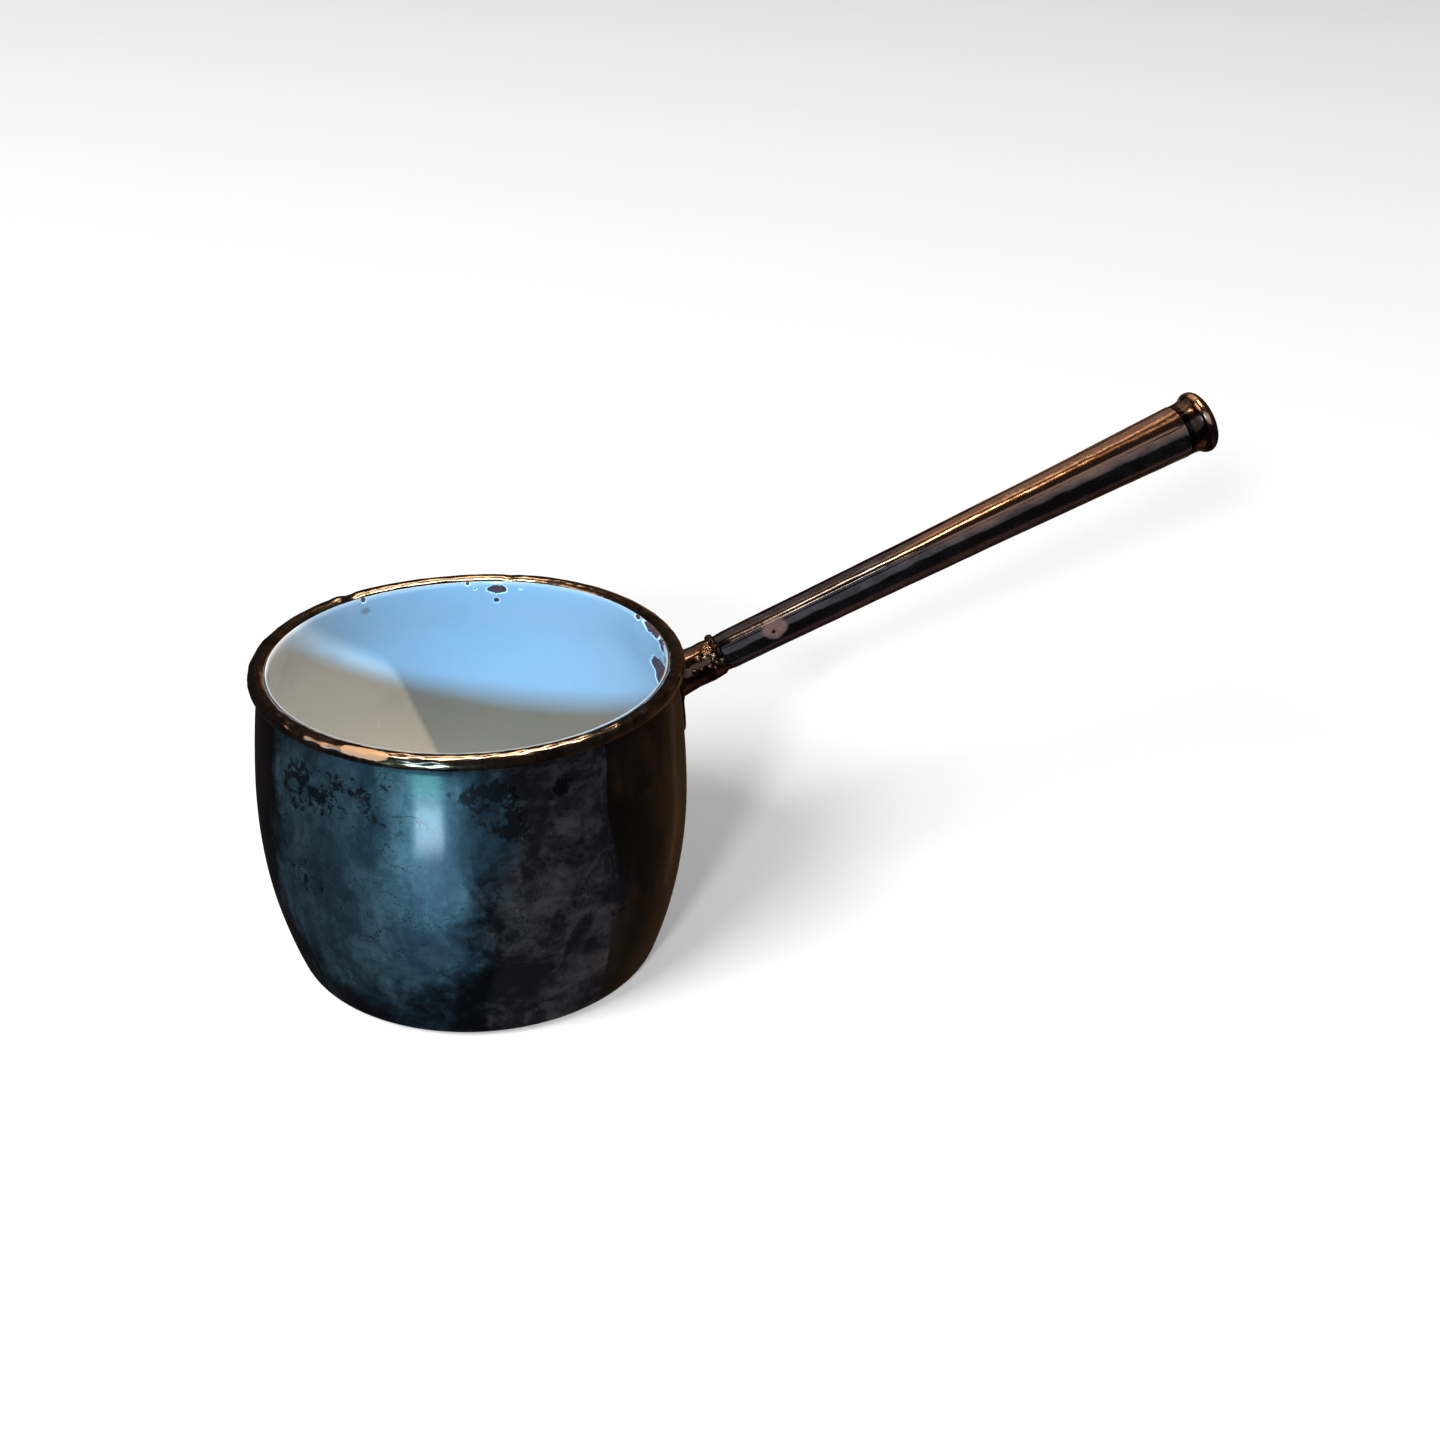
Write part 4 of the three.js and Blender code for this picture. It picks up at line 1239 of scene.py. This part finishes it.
@dataclass(frozen=True)
class BrownCopper:
    """Browned copper for the saddle, the neck and the cap, with near-black painted shade under the neck and
    in the cap's groove, and edges brightened partly by wear and partly by painted highlight.
    """
    light: Colour = (0.21, 0.125, 0.080)
    dark: Colour = (0.034, 0.024, 0.019)
    # Bright copper for wear on edges and drops, also the painted highlight on the lip's top and painted
    # glints on the drops.
    wear_and_highlight: Colour = (0.85, 0.47, 0.28)
    # Near black of the painted shade under the neck and in the cap's groove.
    soot_and_painted_shade: Colour = (0.006, 0.005, 0.005)
    roughness: tuple[float, float] = (0.10, 0.26)

    def material(self) -> bpy.types.Material:
        """Builds the board; the fields worn and groove are nought where a piece has none.

        Returns:
            The material.
        """
        b = Board(Slot.BROWN.value)
        cloud = b.noise(120.0, 8.0, 0.62, 0.5)
        flakes = b.noise(420.0, 6.0, 0.65, 0.8)
        tone = b.step(b.sum(0.5, (1.3, cloud), (0.8, flakes)), 0.25, 0.85)
        colour = b.mix(tone, self.dark, self.light)
        # Wear, partly painted highlight and glints, brightens the cap's lip and the braze drops.
        wear_and_highlight = b.step(b.sum(b.field("wear_and_highlight"), (0.5, cloud), (0.4, flakes)), 0.35, 0.70)
        colour = b.mix(wear_and_highlight, colour, self.wear_and_highlight)
        # Painted shade darkens the neck's underside and the cap's groove.
        groove = b.step(b.sum(b.field("groove"), (0.3, flakes)), 0.3, 0.7)
        colour = b.mix(groove, colour, self.soot_and_painted_shade)
        relief = b.bump(cloud, 0.0003, 0.5)
        relief = b.bump(flakes, 0.00006, 0.5, relief)
        rough = b.range(b.sum(0.5, (1.0, flakes)), *self.roughness)
        return b.finish(Base_Color=colour, Metallic=1.0, Roughness=rough, Coat_Weight=0.2,
                        Coat_Roughness=0.08, Normal=relief)


@dataclass(frozen=True)
class HandleCopper:
    """The tube's copper: near black below, brown on the top as a painted warm sheen over its own brown,
    flecked with painted gold glints.
    """
    black: Colour = (0.060, 0.052, 0.052)
    slate: Colour = (0.120, 0.115, 0.125)
    # brown: the copper's own brown, shown on the top band as a painted warm sheen.
    brown: Colour = (0.34, 0.185, 0.12)
    # gold: the colour of the painted glints in the top band.
    gold: Colour = (0.80, 0.52, 0.30)
    patch: Colour = (0.38, 0.235, 0.20)
    patch_dark: Colour = (0.19, 0.115, 0.10)
    # Near black for the painted shade in the vent.
    vent_shade: Colour = (0.004, 0.003, 0.003)

    def material(self) -> bpy.types.Material:
        """Builds the board from the fields for the brown top band with painted sheen, the patch and the
        vent's painted shade, and from noise drawn out along the tube.

        Returns:
            The material.
        """
        b = Board(Slot.HANDLE.value)
        tilt = math.radians(HANDLE_TILT)
        drawn = b.stretched((0.16, 1.0, 1.0), (0.0, tilt, 0.0))
        streaks = b.noise(260.0, 7.0, 0.65, 0.4, drawn)
        cloud = b.noise(90.0, 7.0, 0.6, 0.6)
        flakes = b.noise(600.0, 6.0, 0.7, 0.8, b.stretched((0.5, 1.0, 1.0), (0.0, tilt, 0.0)))
        dark = b.mix(b.step(b.sum(0.5, (1.2, cloud), (0.8, streaks)), 0.30, 0.80), self.black, self.slate)
        # Brown top band: own brown plus a painted warm sheen on the upper side.
        brown_and_sheen = b.step(b.sum(b.field("brown_and_sheen"), (0.55, streaks), (0.35, cloud)), 0.22, 0.72)
        colour = b.mix(brown_and_sheen, dark, self.brown)
        # Painted glints: bright gold flecks scattered through the top band.
        glint_flecks = b.step(b.sum(b.field("brown_and_sheen"), (1.6, flakes), (0.7, streaks)), 0.98, 1.10)
        colour = b.mix(b.times(glint_flecks, 0.7), colour, self.gold)
        patch = b.step(b.sum(b.field("patch"), (0.4, cloud), (0.3, flakes)), 0.22, 0.78)
        pink = b.mix(b.step(b.sum(0.5, (1.3, flakes)), 0.2, 0.8), self.patch_dark, self.patch)
        colour = b.mix(patch, colour, pink)
        # Painted shade fills the vent pit.
        colour = b.mix(b.field("vent_shade"), colour, self.vent_shade)
        rough = b.between(patch, b.range(b.sum(0.5, (1.0, streaks)), 0.07, 0.19), 0.42)
        metal = b.between(patch, 0.96, 0.35)
        relief = b.bump(cloud, 0.0002, 0.4)
        relief = b.bump(streaks, 0.00005, 0.5, relief)
        return b.finish(Base_Color=colour, Metallic=metal, Roughness=rough, Coat_Weight=0.3,
                        Coat_Roughness=0.06, Normal=relief)


@dataclass(frozen=True)
class CoverEnamel:
    """Glossy grey-white enamel with flakes gone to the dark ground, pale raw edges, a few stains and a pool
    of painted warm light.
    """
    pale: Colour = (0.425, 0.46, 0.457)
    # warm: the colour of the painted warm light, brighter than the enamel's own pale grey.
    warm: Colour = (0.845, 0.78, 0.69)
    clouded: Colour = (0.48, 0.48, 0.45)
    speck: Colour = (0.30, 0.28, 0.26)
    ground: Colour = (0.085, 0.024, 0.020)
    ground_light: Colour = (0.150, 0.046, 0.038)
    edge: Colour = (0.86, 0.90, 0.92)
    smear: Colour = (0.30, 0.22, 0.17)
    tick: Colour = (0.08, 0.07, 0.08)
    scratch: Colour = (0.95, 0.93, 0.90)

    def material(self) -> bpy.types.Material:
        """Builds the board; the field chip is how far inside a flake a point is, in millimetres.

        Returns:
            The material.
        """
        b = Board(Slot.COVER.value)
        cloud = b.noise(40.0, 6.0, 0.55, 0.3)
        fine = b.noise(900.0, 5.0, 0.6)
        specks = b.step(b.noise(420.0, 2.0, 0.5), 0.74, 0.78)
        # The painted warm light replaces the enamel's pale grey where the field warm is high.
        warm = b.step(b.sum(b.field("warm"), (0.10, cloud)), 0.1, 0.9)
        colour = b.mix(warm, self.pale, self.warm)
        colour = b.mix(b.times(b.step(cloud, 0.50, 0.75), 0.18), colour, self.clouded)
        colour = b.mix(b.times(specks, 0.35), colour, self.speck)
        smear = b.step(b.sum(b.field("smear"), (0.7, b.noise(300.0, 6.0, 0.6))), 0.35, 0.95)
        colour = b.mix(b.times(smear, 0.75), colour, self.smear)
        colour = b.mix(b.times(b.step(b.field("tick"), 0.35, 0.8), 0.8), colour, self.tick)
        colour = b.mix(b.times(b.step(b.field("scratch"), 0.3, 0.8), 0.8), colour, self.scratch)
        chip = b.sum(b.field("chip"), (0.25, b.noise(1300.0, 4.0, 0.6)))
        colour = b.mix(b.step(chip, -0.42, -0.18), colour, self.edge)
        inside = b.step(chip, -0.02, 0.12)
        flaked = b.mix(b.step(fine, 0.35, 0.7), self.ground, self.ground_light)
        colour = b.mix(inside, colour, flaked)
        rough = b.between(inside, b.range(cloud, 0.06, 0.16), 0.55)
        relief = b.bump(b.noise(160.0, 3.0, 0.5), 0.00012, 0.35)
        relief = b.bump(b.times(inside, fine), 0.0002, 0.6, relief)
        return b.finish(Base_Color=colour, Roughness=rough, Normal=relief)


@dataclass(frozen=True)
class GroundEnamel:
    """The dark first coat, matt and pitted."""
    dark: Colour = (0.030, 0.016, 0.020)
    light: Colour = (0.070, 0.040, 0.042)

    def material(self) -> bpy.types.Material:
        """Mixes two dark tones by fine noise and pits the surface a little."""
        b = Board(Slot.GROUND.value)
        fine = b.noise(800.0, 6.0, 0.65)
        pits = b.noise(2600.0, 3.0, 0.5)
        return b.finish(Base_Color=b.mix(b.step(fine, 0.35, 0.7), self.dark, self.light),
                        Roughness=b.range(fine, 0.40, 0.65), Normal=b.bump(pits, 0.00008, 0.6))


@dataclass(frozen=True)
class IronWire:
    """Drawn iron wire with brown rust in patches."""
    iron: Colour = (0.22, 0.21, 0.20)
    rust: Colour = (0.12, 0.045, 0.018)

    def material(self) -> bpy.types.Material:
        """Mixes iron and rust by noise; the rust is rougher and not metallic."""
        b = Board(Slot.WIRE.value)
        cloud = b.noise(240.0, 8.0, 0.65, 0.4)
        rust = b.step(cloud, 0.46, 0.60)
        return b.finish(Base_Color=b.mix(rust, self.iron, self.rust), Metallic=b.between(rust, 1.0, 0.1),
                        Roughness=b.between(rust, 0.35, 0.8), Normal=b.bump(cloud, 0.0001, 0.6))


@dataclass(frozen=True)
class BrazeMetal:
    """Brassy filler metal, bright on its blobs and sooty in between."""
    bright: Colour = (0.62, 0.42, 0.20)
    dull: Colour = (0.12, 0.070, 0.035)
    soot_and_painted_shade: Colour = (0.012, 0.009, 0.007)

    def material(self) -> bpy.types.Material:
        """Goes from soot through dull to bright metal by two sizes of noise.

        Returns:
            The material.
        """
        b = Board(Slot.BRAZE.value)
        cloud = b.noise(260.0, 7.0, 0.6, 0.5)
        fine = b.noise(1100.0, 5.0, 0.6)
        tone = b.sum(0.5, (1.5, cloud), (0.5, fine))
        colour = b.ramp(tone, ((0.25, self.soot_and_painted_shade), (0.50, self.dull), (0.80, self.bright)))
        return b.finish(Base_Color=colour, Metallic=1.0, Roughness=b.range(fine, 0.12, 0.36),
                        Normal=b.bump(fine, 0.00012, 0.5, b.bump(cloud, 0.0003, 0.5)))


@dataclass(frozen=True)
class PaleFloor:
    """The plain pale floor."""
    colour: Colour = (0.86, 0.86, 0.86)

    def material(self) -> bpy.types.Material:
        """A matt white with the faintest mottle."""
        b = Board("pale_floor")
        darker = tuple(0.985 * channel for channel in self.colour)
        return b.finish(Base_Color=b.mix(b.noise(6.0, 3.0, 0.5), self.colour, darker), Roughness=0.9)


# ------------------------------------------------------------------ studio

class Lit(Enum):
    """Which surfaces a light falls on."""
    COPPER = "copper"
    HANDLE = "handle"
    VESSEL = "vessel"
    ENAMEL = "enamel"
    FLOOR = "floor"


@dataclass(frozen=True)
class Softbox:
    """A flat lamp on a sphere round the pan, turned towards it; angles are where it hangs, in degrees."""
    name: str
    azimuth: float
    elevation: float
    distance: float
    width: float
    height: float
    radiance: float
    colour: Colour
    lit: Lit = Lit.COPPER
    shaded_by: Lit | None = None
    aim: tuple[float, float, float] = (0.06, 0.0, 0.10)

    def hang(self, receivers: dict[Lit, bpy.types.Collection]) -> bpy.types.Object:
        """Makes the lamp; its power is radiance times pi times its area.

        Args:
            receivers: the collection that each choice of lit surfaces stands for.

        Returns:
            The lamp object.
        """
        lamp = bpy.data.lights.new(self.name, "AREA")
        lamp.shape = "RECTANGLE"
        lamp.size, lamp.size_y = self.width, self.height
        lamp.energy = self.radiance * math.pi * self.width * self.height
        lamp.color = self.colour
        a, e = math.radians(self.azimuth), math.radians(self.elevation)
        away = Vector((math.cos(a) * math.cos(e), math.sin(a) * math.cos(e), math.sin(e)))
        piece = bpy.data.objects.new(self.name, lamp)
        piece.location = Vector(self.aim) + away * self.distance
        piece.rotation_euler = away.to_track_quat("Z", "Y").to_euler()
        bpy.context.scene.collection.objects.link(piece)
        piece.light_linking.receiver_collection = receivers[self.lit]
        if self.shaded_by is not None:
            piece.light_linking.blocker_collection = receivers[self.shaded_by]
        return piece


@dataclass(frozen=True)
class Studio:
    """Floor, room light, lamps and camera.

    The window lamps make the blue and green gleams on the wall and the blue field in the lining, the
    ceiling ones the bright line on the roll, and the gold, slate, brown and red ones the bands along
    the handle. The three keys light only the floor, and each of the last two has one shadow.
    """
    floor_size: float = 24.0
    floor_cells: int = 12
    daylight: float = 0.21
    room: Colour = (0.016, 0.015, 0.016)
    amber: Colour = (0.055, 0.031, 0.015)
    amber_way: tuple[float, float, float] = (0.74, 0.58, -0.33)
    amber_spread: tuple[float, float] = (0.45, 1.0)
    camera_aim: tuple[float, float, float] = (0.09712, 0.0, 0.07526)
    camera_turn: float = -21.633
    camera_rise: float = 27.411
    camera_distance: float = 0.79913
    camera_roll: float = 0.875
    lens: float = 52.304
    handle_pieces: tuple[str, ...] = ("hollow_neck", "braze_bead", "handle_shaft", "end_cap")
    lamps: tuple[Softbox, ...] = (
        Softbox("key", -157.0, 45.0, 9.0, 4.5, 4.5, 13.0, (1.0, 1.0, 1.0), Lit.FLOOR),
        Softbox("low_key", -125.0, 23.0, 9.0, 0.95, 0.95, 140.0, (1.0, 1.0, 1.0), Lit.FLOOR, Lit.VESSEL),
        Softbox("handle_key", -127.5, 23.3, 9.0, 0.85, 0.85, 270.0, (1.0, 1.0, 1.0), Lit.FLOOR, Lit.HANDLE),
        Softbox("window_in", -124.0, 19.5, 2.0, 0.22, 0.14, 830.0, (0.140, 0.495, 0.97), Lit.ENAMEL),
        Softbox("enamel_fill", -95.0, 58.0, 2.0, 1.0, 1.0, 1.1, (1.0, 0.87, 0.70), Lit.ENAMEL),
        Softbox("window", -130.0, 20.0, 2.0, 0.42, 0.42, 8.2, (0.30, 0.60, 1.0)),
        Softbox("window_side", -172.0, 12.0, 2.0, 0.6, 0.6, 2.6, (0.34, 0.62, 1.0), Lit.VESSEL),
        Softbox("window_trees", -129.0, -9.5, 1.2, 0.30, 0.17, 11.0, (0.20, 0.90, 0.64), Lit.VESSEL),
        Softbox("window_sky", -128.5, -18.5, 1.2, 0.26, 0.16, 34.0, (0.56, 0.82, 1.0), Lit.VESSEL),
        Softbox("window_glow", -128.0, -34.0, 1.2, 0.36, 0.62, 0.45, (0.30, 0.62, 1.0), Lit.VESSEL),
        Softbox("ceiling", -90.0, 85.0, 1.6, 1.6, 0.20, 30.0, (1.0, 0.91, 0.76), Lit.VESSEL),
        Softbox("ceiling_far", 75.0, 62.0, 1.6, 0.7, 0.3, 7.0, (1.0, 0.80, 0.56), Lit.VESSEL),
        Softbox("left_room", 175.0, 35.0, 1.8, 0.5, 1.0, 1.6, (1.0, 0.80, 0.62)),
        Softbox("amber_near", 30.0, -12.0, 1.5, 0.16, 1.5, 0.18, (1.0, 0.60, 0.28)),
        Softbox("amber_far", 66.0, -10.0, 1.5, 0.22, 1.5, 0.28, (1.0, 0.56, 0.24)),
        Softbox("gold_line", 130.0, 86.8, 1.6, 0.55, 0.20, 1.8, (1.0, 0.72, 0.44), Lit.HANDLE),
        Softbox("gold_spot", 120.0, 87.0, 1.59, 0.28, 0.15, 22.0, (1.0, 0.86, 0.62), Lit.HANDLE),
        Softbox("gold_end", 12.3, 78.8, 1.68, 0.34, 0.26, 0.7, (1.0, 0.66, 0.40), Lit.HANDLE),
        Softbox("edge_line", 80.0, 62.0, 1.6, 0.7, 0.14, 1.6, (1.0, 0.60, 0.32), Lit.HANDLE),
        Softbox("slate_room", -92.0, 28.0, 1.5, 1.6, 1.1, 0.55, (0.84, 0.90, 1.0), Lit.HANDLE),
        Softbox("brown_room", 96.0, 50.0, 1.5, 1.6, 1.2, 0.42, (1.0, 0.84, 0.72), Lit.HANDLE),
        Softbox("red_below", -28.3, -45.7, 1.2, 0.7, 0.5, 0.22, (1.0, 0.46, 0.34), Lit.HANDLE),
    )

    def floor(self) -> bpy.types.Object:
        """A wide flat sheet at the height of the base, which glossy surfaces don't mirror."""
        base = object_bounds()[0].z
        half = self.floor_size / 2.0
        cells, corners = self.floor_cells, self.floor_cells + 1
        across = np.linspace(-half, half, corners)
        x, y = np.meshgrid(across, across)
        points = np.stack([x, y, np.full_like(x, base)], axis=-1).reshape(-1, 3)
        i, j = np.meshgrid(np.arange(cells), np.arange(cells))
        first = (i * corners + j).ravel()
        quads = np.stack([first, first + 1, first + corners + 1, first + corners], axis=1)
        mesh = bpy.data.meshes.new("floor")
        mesh.from_pydata(points.tolist(), [], quads.tolist())
        sheet = bpy.data.objects.new("floor", mesh)
        bpy.context.scene.collection.objects.link(sheet)
        sheet.data.materials.append(PaleFloor().material())
        sheet.visible_glossy = False
        sheet.visible_shadow = False
        sheet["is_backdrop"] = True
        return sheet

    def surroundings(self) -> None:
        """The room: even daylight for matt surfaces, and dim light with an amber side for glossy ones."""
        world = bpy.data.worlds.new("room")
        bpy.context.scene.world = world
        world.use_nodes = True
        nodes, links = world.node_tree.nodes, world.node_tree.links
        nodes.clear()
        way = nodes.new("ShaderNodeTexCoord").outputs["Generated"]
        dot = nodes.new("ShaderNodeVectorMath")
        dot.operation = "DOT_PRODUCT"
        links.new(way, dot.inputs[0])
        dot.inputs[1].default_value = self.amber_way
        spread = nodes.new("ShaderNodeMapRange")
        spread.interpolation_type = "SMOOTHSTEP"
        links.new(dot.outputs["Value"], spread.inputs["Value"])
        spread.inputs["From Min"].default_value = self.amber_spread[0]
        spread.inputs["From Max"].default_value = self.amber_spread[1]
        seen = nodes.new("ShaderNodeMix")
        seen.data_type = "RGBA"
        links.new(spread.outputs[0], seen.inputs[0])
        seen.inputs[6].default_value = (*self.room, 1.0)
        seen.inputs[7].default_value = (*self.amber, 1.0)
        path = nodes.new("ShaderNodeLightPath")
        chosen = nodes.new("ShaderNodeMix")
        chosen.data_type = "RGBA"
        links.new(path.outputs["Is Glossy Ray"], chosen.inputs[0])
        chosen.inputs[6].default_value = (self.daylight,) * 3 + (1.0,)
        links.new(seen.outputs[2], chosen.inputs[7])
        background = nodes.new("ShaderNodeBackground")
        links.new(chosen.outputs[2], background.inputs["Color"])
        output = nodes.new("ShaderNodeOutputWorld")
        links.new(background.outputs[0], output.inputs[0])

    def camera(self) -> bpy.types.Object:
        """The camera on its sphere round the aim, turned to it and rolled a little."""
        lens = bpy.data.cameras.new("camera")
        lens.lens, lens.sensor_width = self.lens, 36.0
        lens.clip_start = 0.01
        turn, rise, roll = (math.radians(v) for v in (self.camera_turn, self.camera_rise, self.camera_roll))
        back = Vector((math.sin(turn) * math.cos(rise), -math.cos(turn) * math.cos(rise), math.sin(rise)))
        right = Vector((0.0, 0.0, 1.0)).cross(back).normalized()
        up = back.cross(right)
        across = right * math.cos(roll) + up * math.sin(roll)
        upright = back.cross(across)
        camera = bpy.data.objects.new("camera", lens)
        axes = Matrix((across, upright, back)).transposed().to_4x4()
        camera.matrix_world = Matrix.Translation(Vector(self.camera_aim) + back * self.camera_distance) @ axes
        bpy.context.scene.collection.objects.link(camera)
        bpy.context.scene.camera = camera
        return camera

    def build(self, pieces: list[bpy.types.Object]) -> None:
        """Sets the floor, the lamps with what each lights, the room light and the camera.

        Args:
            pieces: the pan's pieces, which the pan's own lamps light.
        """
        floor = self.floor()
        receivers = {lit: bpy.data.collections.new(lit.value + "_lit") for lit in Lit}
        for piece in pieces:
            receivers[Lit.ENAMEL if piece.name == "pale_lining" else Lit.COPPER].objects.link(piece)
            receivers[Lit.HANDLE if piece.name in self.handle_pieces else Lit.VESSEL].objects.link(piece)
        receivers[Lit.FLOOR].objects.link(floor)
        for lamp in self.lamps:
            lamp.hang(receivers)
        self.surroundings()
        self.camera()
        bpy.context.scene.view_settings.view_transform = "Standard"


# ------------------------------------------------------------------ putting it together

@dataclass
class Saucepan:
    """The whole object: the vessel, what mounts the handle, and the handle."""
    vessel: Vessel
    mount: HandleMount
    handle: Handle

    @classmethod
    def from_frame(cls) -> "Saucepan":
        """Sizes every sub-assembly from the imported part."""
        vessel, line = Vessel.from_frame(), HandleLine.from_frame()
        return cls(vessel, HandleMount(vessel, line), Handle(line))

    def build(self) -> list[bpy.types.Object]:
        """Builds and dresses each piece, seats it on the body and reports it.

        Returns:
            The pieces.
        """
        brown = BrownCopper().material()
        braze = BrazeMetal().material()
        plan = (
            ("pan_body", self.vessel.body, TarnishedCopper().material(), Slot.TARNISH),
            ("rim_wire", self.vessel.wire, IronWire().material(), Slot.WIRE),
            ("ground_coat", self.vessel.ground_coat, GroundEnamel().material(), Slot.GROUND),
            ("enamel_lining", self.vessel.lining, CoverEnamel().material(), Slot.COVER),
            ("handle_saddle", self.mount.saddle, brown, Slot.BROWN),
            ("handle_neck", self.mount.neck, brown, Slot.BROWN),
            ("saddle_braze", self.mount.root_braze, braze, Slot.BRAZE),
            ("neck_braze", self.mount.bead, braze, Slot.BRAZE),
            ("handle_tube", self.handle.tube, HandleCopper().material(), Slot.HANDLE),
            ("handle_cap", self.handle.cap, brown, Slot.BROWN),
        )
        pieces = []
        for node, make, material, slot in plan:
            piece = make()
            piece.data.materials.append(material)
            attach(piece, BODY)
            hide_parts(node)
            LOG.info("%s for %s: %d faces, %s", piece.name, node, len(piece.data.polygons), slot.value)
            pieces.append(piece)
        return pieces


def main() -> None:
    logging.basicConfig(level=logging.INFO, format="%(message)s")
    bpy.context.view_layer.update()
    pieces = Saucepan.from_frame().build()
    Studio().build(pieces)


if __name__ == "__main__":
    main()
